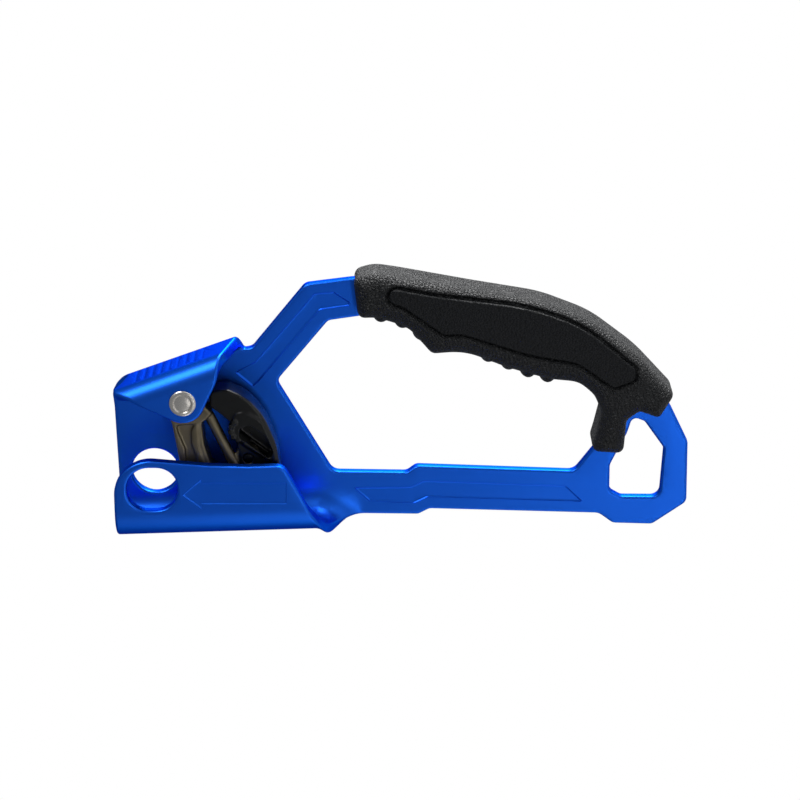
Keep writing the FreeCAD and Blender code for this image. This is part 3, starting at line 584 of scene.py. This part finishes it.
# ------------------------------------------------------------------------------------------------
# Grip: two half shells of black rubber moulded round the arm, crowned, with a leather grain, finger
# pads along the inside and a seat for an inlay in each face.
# ------------------------------------------------------------------------------------------------
GRIP_OUTLINE = [
    (71.8, -69.9, 3.0),
    (73.8, -77.0, 12.0),
    (72.6, -85.0, 40.0),
    (67.8, -111.0, 80.0),
    (63.9, -134.0, 50.0),
    (57.1, -151.3, 40.0),
    (45.0, -167.2, 60.0),
    (30.2, -180.8, 2.5),
    (21.4, -175.7, 1.8),
    (24.0, -168.7, 2.0),
    (20.6, -164.5, 2.5),
    (8.4, -163.7, 2.5),
    (9.2, -152.0, 2.5),
    (15.5, -153.7, 6.0),
    (24.0, -155.6, 5.0),
    (30.0, -152.9, 8.0),
    (34.8, -147.5, 9.0),
    (35.8, -137.2, 12.0),
    (39.9, -123.0, 40.0),
    (45.9, -108.0, 30.0),
    (45.0, -96.8, 3.0),
    (54.6, -88.6, 12.0),
    (58.0, -78.0, 12.0),
    (57.8, -71.6, 2.5),
]
INLAY_OUTLINE = [
    (69.6, -82.6, 2.6),
    (66.7, -98.0, 60.0),
    (62.6, -130.0, 80.0),
    (55.6, -148.6, 50.0),
    (40.6, -166.6, 1.8),
    (36.9, -166.6, 1.6),
    (33.9, -159.4, 2.0),
    (43.0, -147.0, 16.0),
    (46.0, -130.0, 60.0),
    (53.4, -107.2, 3.0),
    (53.2, -100.8, 3.0),
    (63.4, -86.6, 8.0),
    (64.6, -82.0, 2.4),
]
# Finger pads: the place (x, z) of each in mm and its tilt in degrees.
FINGER_PADS = [
    (58.0, -79.4, 8),
    (55.9, -86.6, 24),
    (51.7, -92.8, 40),
    (43.6, -116.2, 20),
    (40.8, -123.2, 22),
    (38.0, -130.0, 20),
    (36.2, -136.8, 10),
]
PAD_HALF_SIZES = (2.6, 7.8, 3.0)
GRIP_FRONT, GRIP_REAR, GRIP_SPLIT = -9.0, 12.0, 2.0
GRIP_MIDDLE = (GRIP_FRONT + GRIP_REAR) / 2
GRIP_CROWN = 5.2
FACE_START, FACE_RUN = 6.0, 2.0
SEAT_DEPTH, SEAT_MARGIN, SEAT_WALL = 1.2, 1.3, 1.0
LIP_HEIGHT, LIP_PLACE, LIP_WIDTH = 0.25, 1.9, 0.7
grip_line = rounded(GRIP_OUTLINE)
inlay_line = rounded(INLAY_OUTLINE)


def edge_distance(points, line):
    """Distance of points (x, z) from a closed line, negative inside it."""
    starts = np.array([tuple(p) for p in line])
    stops = np.roll(starts, -1, axis=0)
    tiny = 1e-12
    nearest = np.full(len(points), np.inf)
    crossings = np.zeros(len(points), int)
    for a, b in zip(starts, stops):
        way = b - a
        share = np.clip(((points - a) @ way) / max(way @ way, tiny), 0, 1)
        nearest = np.minimum(nearest, np.linalg.norm(points - a - share[:, None] * way, axis=1))
        spans = (a[1] > points[:, 1]) != (b[1] > points[:, 1])
        height = (b[1] - a[1]) or tiny
        crossings += spans & (points[:, 0] < way[0] * (points[:, 1] - a[1]) / height + a[0])
    return np.where(crossings % 2 == 1, -nearest, nearest)


def melt(piece, tools, voxel):
    """Join moulded shapes into one skin of even small faces."""
    pick(piece, *tools)
    if tools:
        bpy.ops.object.join()
    step = piece.modifiers.new("melt", "REMESH")
    step.mode, step.voxel_size = "VOXEL", voxel * MM
    bpy.ops.object.modifier_apply(modifier=step.name)


def soften(piece, times):
    """Round off the small faces of a melted skin."""
    step = piece.modifiers.new("soften", "SMOOTH")
    step.factor, step.iterations = 0.5, times
    bpy.ops.object.modifier_apply(modifier=step.name)
    bpy.ops.object.shade_smooth()


grip_block = cut_plate("grip_block", [grip_line], GRIP_FRONT, GRIP_REAR, GRIP_CROWN, steps=6)
pads = []
for x, z, tilt in FINGER_PADS:
    deselect()
    bpy.ops.mesh.primitive_uv_sphere_add(
        segments=32, ring_count=20, radius=MM, location=(x * MM, GRIP_MIDDLE * MM, z * MM)
    )
    pad = bpy.context.object
    pad.scale = PAD_HALF_SIZES
    pad.rotation_euler = (0, math.radians(tilt), 0)
    bpy.ops.object.transform_apply(location=True, rotation=True, scale=True)
    pads.append(pad)
melt(grip_block, pads, voxel=0.42)
soften(grip_block, times=4)
co = np.array([v.co for v in grip_block.data.vertices]) / MM
beside = edge_distance(co[:, [0, 2]], inlay_line)
sink = SEAT_DEPTH * ease(np.clip((SEAT_MARGIN - beside) / SEAT_WALL, 0, 1))
lip = LIP_HEIGHT * np.exp(-((beside - LIP_PLACE) / LIP_WIDTH) ** 2)
face = np.clip((np.abs(co[:, 1] - GRIP_MIDDLE) - FACE_START) / FACE_RUN, 0, 1)
toward = np.sign(co[:, 1] - GRIP_MIDDLE)
co[:, 1] -= toward * face * (sink - lip)
grip_block.data.vertices.foreach_set("co", (co * MM).ravel())
grip_block.data.update()


def half_of(block, name, keep_front):
    """One side of a block, cut at the parting plane and closed."""
    pick(block)
    bpy.ops.object.duplicate()
    half = bpy.context.object
    half.name = name
    bpy.ops.object.mode_set(mode="EDIT")
    bpy.ops.mesh.select_all(action="SELECT")
    bpy.ops.mesh.bisect(
        plane_co=(0, GRIP_SPLIT * MM, 0),
        plane_no=(0, 1, 0),
        use_fill=True,
        clear_outer=keep_front,
        clear_inner=not keep_front,
    )
    bpy.ops.object.mode_set(mode="OBJECT")
    return half


grip_front = half_of(grip_block, "grip_front", True)
grip_rear = half_of(grip_block, "grip_rear", False)
bpy.data.objects.remove(grip_block)


def cells_on(tree, cell_size, feature):
    """Cells in the piece's own coordinates, so many mm across: the distance to their feature."""
    spot = add_node(tree, "ShaderNodeTexCoord")
    settings, place = {"feature": feature}, {"Vector": spot.outputs["Object"]}
    cells = add_node(tree, "ShaderNodeTexVoronoi", settings, place, Scale=1 / (cell_size * MM))
    return cells.outputs["Distance"]


# Moulded rubber: near black, dull, with a leather grain about 1 mm across that catches the light, and
# painted shade in the grain's creases.
GRAIN_SIZE, CREASE_WIDTH = 1.1, 0.25
PORES_PER_METRE = 900.0
rubber, tree, shader = new_material("moulded_rubber", Roughness=0.5, IOR=1.5, Specular_IOR_Level=0.3)
pores = noise_on(tree, PORES_PER_METRE)
creases = cells_on(tree, GRAIN_SIZE, "DISTANCE_TO_EDGE")
crease_depth_and_shade = add_node(tree, "ShaderNodeMapRange", links={"Value": creases}, From_Max=CREASE_WIDTH)
skin = add_node(tree, "ShaderNodeMath", {"operation": "ADD"}, {0: crease_depth_and_shade.outputs[0], 1: pores})
# Painted shade: the creases of the grain are coloured darker than the cells between them.
two_tone(tree, shader, crease_depth_and_shade.outputs[0], "060708", "121417")
relief(tree, shader, skin.outputs[0], 1.0, 0.3)
for piece, node in ((grip_front, "grip_front_shell"), (grip_rear, "grip_rear_shell")):
    wear(piece, rubber)
    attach(piece, "root")
    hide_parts(node)

# ------------------------------------------------------------------------------------------------
# Inlays: softer rubber panels pressed into the seats of the grip, with a fine pebbled face.
# ------------------------------------------------------------------------------------------------
PEBBLE_SIZE = 0.75
pebble, tree, shader = new_material("pebbled_rubber", Roughness=0.5, IOR=1.5, Specular_IOR_Level=0.18)
pebble_height_and_painted_light = cells_on(tree, PEBBLE_SIZE, "F1")
# Painted highlight and painted shade: each pebble's raised top is coloured lighter and the gaps between
# pebbles darker.
two_tone(tree, shader, pebble_height_and_painted_light, "14161A", "050606")
relief(tree, shader, pebble_height_and_painted_light, 1.0, 0.3, invert=True)
INLAY_RISE, INLAY_EDGE = 0.35, 0.6
for name, node, front, rear in (
    ("inlay_front", "grip_front_inlay", GRIP_FRONT - INLAY_RISE, GRIP_FRONT + SEAT_DEPTH),
    ("inlay_rear", "grip_rear_inlay", GRIP_REAR - SEAT_DEPTH, GRIP_REAR + INLAY_RISE),
):
    inlay = cut_plate(name, [inlay_line], front, rear, INLAY_EDGE, steps=4)
    weigh_normals(inlay, 50)
    wear(inlay, pebble)
    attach(inlay, "root")
    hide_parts(node)

# ------------------------------------------------------------------------------------------------
# Cam: cast steel, a hub and an arm with a leaf-shaped rib, a tie rod, a tongue that carries the
# catch, and a toothed nose that bites the rope.
# ------------------------------------------------------------------------------------------------
CAM_OUTLINE = [
    (38.1, -6.5, 5.5),
    (27.0, -6.1, 4.0),
    (22.5, -7.6, 6.0),
    (9.1, -9.8, 12.0),
    (-0.5, -10.8, 8.0),
    (-8.5, -12.8, 2.0),
    (-10.7, -21.0, 12.0),
    (-8.1, -29.6, 7.0),
    (-1.5, -31.0, 3.0),
    (2.9, -25.0, 2.5),
    (6.9, -20.7, 3.0),
    (14.5, -18.6, 10.0),
    (22.7, -17.8, 1.0),
    (24.0, -19.5, 0.5),
    (26.1, -21.4, 0.6),
    (28.9, -18.9, 1.0),
    (38.1, -17.7, 5.5),
]
TONGUE = [
    (-5.5, -24.0, 2.0),
    (-3.5, -31.0, 3.0),
    (5.2, -37.5, 3.9),
    (13.2, -37.5, 3.9),
    (13.2, -29.5, 3.9),
    (6.5, -28.4, 1.0),
    (2.9, -25.0, 2.5),
]
CAM_HOLLOW = [
    (21.9, -9.0, 0.8),
    (19.0, -9.7, 3.0),
    (13.1, -11.9, 4.0),
    (3.5, -12.0, 4.0),
    (-5.1, -13.6, 2.0),
    (-4.1, -19.4, 3.0),
    (5.5, -19.0, 3.0),
    (11.6, -17.4, 6.0),
    (22.5, -16.6, 0.8),
]
LEAF = [
    (24.5, -16.6, 0.8),
    (20.1, -14.2, 4.0),
    (15.0, -14.2, 4.0),
    (8.5, -16.4, 4.0),
    (2.5, -18.6, 1.0),
    (2.5, -20.0, 1.0),
    (8.5, -18.6, 5.0),
    (14.0, -16.9, 5.0),
]
CAM_FRONT, CAM_REAR, CAM_EDGE = -13.4, -4.6, 0.5
CAM_MIDDLE = (CAM_FRONT + CAM_REAR) / 2
BUSH_RADIUS = 4.25
HOLLOW_DEPTH, CAST_EDGE = 1.1, 0.4
TONGUE_HALF, LEAF_RISE = 2.1, 0.3
hub_and_arm = [rounded(CAM_OUTLINE), ring(*AXLE, BUSH_RADIUS)]
cam_casting = cut_plate("cam_casting", hub_and_arm, CAM_FRONT, CAM_REAR, CAM_EDGE, steps=2)
hollow_line = rounded(CAM_HOLLOW)
tools = [
    cut_plate("hollow", [hollow_line], CAM_FRONT - 1, CAM_FRONT + HOLLOW_DEPTH, CAST_EDGE, steps=2),
    cut_plate("hollow", [hollow_line], CAM_REAR - HOLLOW_DEPTH, CAM_REAR + 1, CAST_EDGE, steps=2),
]
cut_away(cam_casting, tools)
ROD_TOP, ROD_FOOT = Vector((25.1, -10.4, -20.1)) * MM, Vector((6.1, -10.4, -28.9)) * MM
ROD_RADIUS = 1.85
rod_way = ROD_TOP - ROD_FOOT
deselect()
bpy.ops.mesh.primitive_cylinder_add(
    vertices=32,
    radius=ROD_RADIUS * MM,
    depth=rod_way.length,
    location=(ROD_TOP + ROD_FOOT) / 2,
    rotation=rod_way.to_track_quat("Z", "Y").to_euler(),
)
tie_rod = bpy.context.object
tongue_front, tongue_rear = CAM_MIDDLE - TONGUE_HALF, CAM_MIDDLE + TONGUE_HALF
limbs = [
    cut_plate("tongue", [rounded(TONGUE)], tongue_front, tongue_rear, CAST_EDGE, steps=2),
    cut_plate("leaf", [rounded(LEAF)], CAM_FRONT - LEAF_RISE, CAM_MIDDLE, CAST_EDGE, steps=2),
    tie_rod,
]
melt(cam_casting, limbs, voxel=0.3)
soften(cam_casting, times=3)

# Teeth: rows of small cones round the nose, four and three in turn, that lean up the rope.
NOSE_CENTRE, NOSE_RADIUS = (6.3, -21.1), 16.7
ROWS, ROW_FIRST, ROW_STEP, TOOTH_LEAN = 7, -23.0, 7.6, 18.0
TOOTH_ROOT, TOOTH_TIP, TOOTH_LENGTH, TOOTH_OUT, TOOTH_PITCH = 0.9, 0.14, 2.2, 0.3, 2.0
teeth = []
for row in range(ROWS):
    turn = math.radians(ROW_FIRST + ROW_STEP * row)
    tilt = turn - math.radians(TOOTH_LEAN)
    way = Vector((-math.cos(tilt), 0, -math.sin(tilt)))
    x = NOSE_CENTRE[0] - NOSE_RADIUS * math.cos(turn)
    z = NOSE_CENTRE[1] - NOSE_RADIUS * math.sin(turn)
    count = 4 if row % 2 else 3
    for place in range(count):
        across = CAM_MIDDLE + (place - (count - 1) / 2) * TOOTH_PITCH
        deselect()
        bpy.ops.mesh.primitive_cone_add(
            vertices=16,
            radius1=TOOTH_ROOT * MM,
            radius2=TOOTH_TIP * MM,
            depth=TOOTH_LENGTH * MM,
            location=(Vector((x, across, z)) + way * TOOTH_OUT) * MM,
            rotation=way.to_track_quat("Z", "Y").to_euler(),
        )
        bpy.ops.object.shade_smooth_by_angle(angle=math.radians(35))
        teeth.append(bpy.context.object)
pick(cam_casting, *teeth)
bpy.ops.object.join()

# Cast steel: bead-blasted and plated, a warm bronze grey with a fine pitted skin.
CAST_GRAIN = 0.5
STAINS_PER_METRE = 140.0
cast_steel, tree, shader = new_material("cast_steel", Metallic=1.0)
pits = noise_on(tree, 1 / (CAST_GRAIN * MM), 3.0)
two_tone(tree, shader, noise_on(tree, STAINS_PER_METRE), "57503F", "857B68")
rough_between(tree, shader, pits, 0.36, 0.56)
relief(tree, shader, pits, 0.3, 0.08)
wear(cam_casting, cast_steel)
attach(cam_casting, "cam")
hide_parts("cam")

# ------------------------------------------------------------------------------------------------
# Catch: black nylon, moulded, forked over the cam's tongue, with a knurled boss round a drop-shaped
# slot that the thumb pulls.
# ------------------------------------------------------------------------------------------------
CATCH_OUTLINE = [
    (33.9, -20.6, 1.5),
    (34.5, -26.8, 2.5),
    (31.6, -33.2, 14.0),
    (24.5, -39.2, 20.0),
    (14.0, -43.4, 20.0),
    (2.0, -44.9, 3.0),
    (1.1, -40.0, 2.0),
    (4.1, -37.0, 3.0),
    (4.1, -30.6, 3.0),
    (15.5, -29.8, 1.0),
    (17.5, -27.9, 1.5),
    (22.2, -27.9, 2.0),
    (25.7, -24.0, 4.0),
    (28.3, -20.6, 1.0),
]
DROP = [
    (20.4, -30.7, 1.5),
    (21.9, -34.0, 2.2),
    (18.0, -39.6, 5.0),
    (12.2, -42.2, 2.0),
    (9.0, -41.2, 1.2),
    (13.7, -35.2, 6.0),
    (17.4, -30.6, 1.2),
]
BOSS = [
    (19.5, -28.2, 3.0),
    (25.1, -28.0, 3.5),
    (27.1, -32.4, 6.0),
    (23.1, -38.9, 8.0),
    (12.5, -43.0, 6.0),
    (7.1, -43.2, 1.5),
    (10.0, -38.6, 3.0),
    (14.7, -31.4, 3.0),
]
FORK = [
    (14.6, -39.4, 5.2),
    (14.6, -28.2, 5.2),
    (-5.5, -24.0),
    (-5.5, -40.6),
    (5.5, -40.6, 3.0),
]
CATCH_FRONT, CATCH_REAR, CATCH_EDGE = -12.9, -2.5, 0.7
BOSS_DEPTH, BOSS_EDGE, DROP_DEPTH = 4.0, 0.5, 7.0
FORK_HALF, FORK_EDGE, BORE_EDGE, SPRING_SEAT_DEPTH = 2.4, 0.2, 0.1, 3.0
PIN, PIN_BORE, SPRING_SEAT_RADIUS = (9.2, -33.5), 1.75, 3.5
catch_line = rounded(CATCH_OUTLINE)
catch_lever = cut_plate("catch_lever", [catch_line], CATCH_FRONT + CATCH_EDGE, CATCH_REAR, CATCH_EDGE)
boss = cut_plate("boss", [rounded(BOSS)], CATCH_FRONT, CATCH_FRONT + BOSS_DEPTH, BOSS_EDGE, steps=2)
# Seven knurls round the head of the drop-shaped slot, from the thumb's side to the far side.
KNURLS, KNURL_RADIUS, KNURL_LENGTH, KNURL_SINK = 7, 0.85, 4.0, 1.4
KNURL_CENTRE, KNURL_RING, KNURL_FIRST, KNURL_SWEEP = (20.1, -31.2), 3.7, 40, 185
knurls = []
for number in range(KNURLS):
    turn = math.radians(KNURL_FIRST + KNURL_SWEEP * number / (KNURLS - 1))
    x = KNURL_CENTRE[0] + KNURL_RING * math.cos(turn)
    z = KNURL_CENTRE[1] + KNURL_RING * math.sin(turn)
    deselect()
    bpy.ops.mesh.primitive_cylinder_add(
        vertices=20,
        radius=KNURL_RADIUS * MM,
        depth=KNURL_LENGTH * MM,
        location=(x * MM, (CATCH_FRONT + KNURL_SINK) * MM, z * MM),
        rotation=(math.pi / 2, 0, 0),
    )
    knurls.append(bpy.context.object)
melt(catch_lever, [boss, *knurls], voxel=0.3)
drop_line, fork_line = rounded(DROP), rounded(FORK)
fork_front, fork_rear = CAM_MIDDLE - FORK_HALF, CAM_MIDDLE + FORK_HALF
tools = [
    cut_plate("drop", [drop_line], CATCH_FRONT - PUNCH, CATCH_FRONT + DROP_DEPTH, BOSS_EDGE, steps=2),
    cut_plate("fork", [fork_line], fork_front, fork_rear, FORK_EDGE, steps=1),
    cut_plate("bore", [ring(*PIN, PIN_BORE)], CATCH_FRONT - 2, CATCH_REAR + 2, BORE_EDGE, steps=1),
    cut_plate(
        "spring_seat",
        [ring(*PIN, SPRING_SEAT_RADIUS)],
        tongue_rear,
        tongue_rear + SPRING_SEAT_DEPTH,
        BORE_EDGE,
        steps=1,
    ),
]
cut_away(catch_lever, tools)
melt(catch_lever, [], voxel=0.3)
soften(catch_lever, times=2)

# Nylon: injection moulded in black, smooth, with a soft gloss and faint flow marks.
FLOW_MARKS_PER_METRE = 260.0
nylon, tree, shader = new_material("moulded_nylon", IOR=1.53, Specular_IOR_Level=0.3)
flow = noise_on(tree, FLOW_MARKS_PER_METRE, 4.0)
two_tone(tree, shader, flow, "040505", "08090A")
rough_between(tree, shader, flow, 0.22, 0.38)
wear(catch_lever, nylon)
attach(catch_lever, "catch")
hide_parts("catch")


# ------------------------------------------------------------------------------------------------
# Axle and pin: a stainless rivet with a dished head holds the cam, its rear end formed over a
# washer; a steel pin holds the catch in the cam's tongue. All are turned.
# ------------------------------------------------------------------------------------------------
def turned(name, centre, profile):
    """Piece turned about a line along Y; profile is (radius, y) from one end to the other, in mm."""
    mesh = bpy.data.meshes.new(name)
    points = [((centre[0] + radius) * MM, y * MM, centre[1] * MM) for radius, y in profile]
    mesh.from_pydata(points, [(i, i + 1) for i in range(len(points) - 1)], [])
    piece = bpy.data.objects.new(name, mesh)
    bpy.context.scene.collection.objects.link(piece)
    pick(piece)
    bpy.ops.object.mode_set(mode="EDIT")
    bpy.ops.mesh.select_all(action="SELECT")
    bpy.ops.mesh.spin(
        steps=72,
        angle=2 * math.pi,
        center=(centre[0] * MM, 0, centre[1] * MM),
        axis=(0, 1, 0),
    )
    bpy.ops.mesh.select_all(action="SELECT")
    bpy.ops.mesh.remove_doubles(threshold=0.000005)
    bpy.ops.mesh.normals_make_consistent(inside=False)
    bpy.ops.object.mode_set(mode="OBJECT")
    weigh_normals(piece, 35)
    return piece


# Stainless steel: turned bright, so fine rings run round it and its highlights stretch across them.
# A wave texture of scale 1 repeats every UNIT_WAVE metres.
UNIT_WAVE, RING_PITCH = 0.314, 0.35
stainless, tree, shader = new_material("turned_stainless", Metallic=1.0)
spot = add_node(tree, "ShaderNodeTexCoord")
centred = add_node(tree, "ShaderNodeMapping", links={"Vector": spot.outputs["Object"]})
centred.inputs["Location"].default_value = (-AXLE[0] * MM, 0, -AXLE[1] * MM)
rings = add_node(
    tree,
    "ShaderNodeTexWave",
    {"wave_type": "RINGS", "rings_direction": "Y"},
    {"Vector": centred.outputs[0]},
    Scale=UNIT_WAVE / (RING_PITCH * MM),
    Distortion=0.4,
).outputs["Fac"]
two_tone(tree, shader, rings, "C8C2BA", "DEDAD4")
rough_between(tree, shader, rings, 0.24, 0.34)
relief(tree, shader, rings, 0.15, 0.03)

# The rivet's profile runs from the dish in its head, over the flat ring and down the shank, to the
# formed end over the washer.
FLAP_FACE, HEAD_RADIUS, HEAD_HEIGHT = -20.0, 4.55, 1.1
WASHER_RADIUS, WASHER_BORE, WASHER_THICKNESS, WASHER_EDGE = 5.45, 3.05, 0.8, 0.2
head_front = FLAP_FACE - HEAD_HEIGHT
washer_rear = SHEET + WASHER_THICKNESS
rivet = turned(
    "rivet",
    AXLE,
    [
        (0.0, head_front + 0.45),
        (2.4, head_front + 0.42),
        (2.75, head_front + 0.55),
        (3.0, head_front + 0.5),
        (3.15, head_front + 0.12),
        (3.3, head_front),
        (3.95, head_front),
        (4.3, head_front + 0.12),
        (HEAD_RADIUS, head_front + 0.45),
        (HEAD_RADIUS, FLAP_FACE),
        (AXLE_RADIUS, FLAP_FACE),
        (AXLE_RADIUS, washer_rear),
        (3.95, washer_rear),
        (3.9, washer_rear + 0.3),
        (3.5, washer_rear + 0.7),
        (2.8, washer_rear + 0.95),
        (1.6, washer_rear + 1.0),
        (1.2, washer_rear + 0.7),
        (0.0, washer_rear + 0.65),
    ],
)
washer = turned(
    "washer",
    AXLE,
    [
        (WASHER_BORE, SHEET),
        (WASHER_RADIUS - 0.25, SHEET),
        (WASHER_RADIUS, SHEET + WASHER_EDGE),
        (WASHER_RADIUS, washer_rear - WASHER_EDGE),
        (WASHER_RADIUS - 0.2, washer_rear),
        (WASHER_BORE, washer_rear),
        (WASHER_BORE, SHEET),
    ],
)
for piece, node in ((rivet, "cam_axle"), (washer, "axle_washer")):
    wear(piece, stainless)
    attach(piece, "root")
    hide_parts(node)

PIN_RADIUS, PIN_SINK = 1.7, 0.75
pin_front = CATCH_FRONT + PIN_SINK
pin = turned(
    "pin",
    PIN,
    [
        (0.0, pin_front),
        (PIN_RADIUS - 0.4, pin_front),
        (PIN_RADIUS - 0.1, pin_front + 0.1),
        (PIN_RADIUS, pin_front + 0.35),
        (PIN_RADIUS, CATCH_REAR - 0.3),
        (PIN_RADIUS - 0.3, CATCH_REAR),
        (0.0, CATCH_REAR),
    ],
)
# Blackened steel: the pin is oxidised and oiled, almost as dark as the catch.
OXIDE_PER_METRE = 900.0
blackened, tree, shader = new_material("blackened_steel", Metallic=1.0)
oxide = noise_on(tree, OXIDE_PER_METRE)
two_tone(tree, shader, oxide, "121314", "2A2B2D")
rough_between(tree, shader, oxide, 0.3, 0.45)
wear(pin, blackened)
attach(pin, "cam")
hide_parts("catch_pin")

# ------------------------------------------------------------------------------------------------
# Small parts inside: hard plastic spacers and a bronze bush on the axle, and two wound steel springs.
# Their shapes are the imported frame's own, and only their materials are given here.
# ------------------------------------------------------------------------------------------------
# Acetal: near black, machined, waxy.
HAZE_PER_METRE, SINTER_PER_METRE, DRAW_MARKS_PER_METRE = 500.0, 2500.0, 1800.0
acetal, tree, shader = new_material("acetal", Roughness=0.4, IOR=1.48)
two_tone(tree, shader, noise_on(tree, HAZE_PER_METRE), "1D1E20", "26272A")

# Bronze: sintered, oil-soaked, a dull brown gold.
bronze, tree, shader = new_material("sintered_bronze", Metallic=1.0, Roughness=0.45)
two_tone(tree, shader, noise_on(tree, SINTER_PER_METRE), "7A5A30", "A9824A")

# Spring steel: drawn wire, oil-tempered grey, fairly bright.
wire, tree, shader = new_material("spring_steel", Metallic=1.0, Roughness=0.32)
two_tone(tree, shader, noise_on(tree, DRAW_MARKS_PER_METRE), "6F7276", "9A9DA1")
for material, nodes in (
    (acetal, ("cam_spacer_front", "cam_spacer_rear")),
    (bronze, ("cam_bush",)),
    (wire, ("cam_spring", "catch_spring")),
):
    for node in nodes:
        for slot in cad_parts[node].material_slots:
            slot.material = material
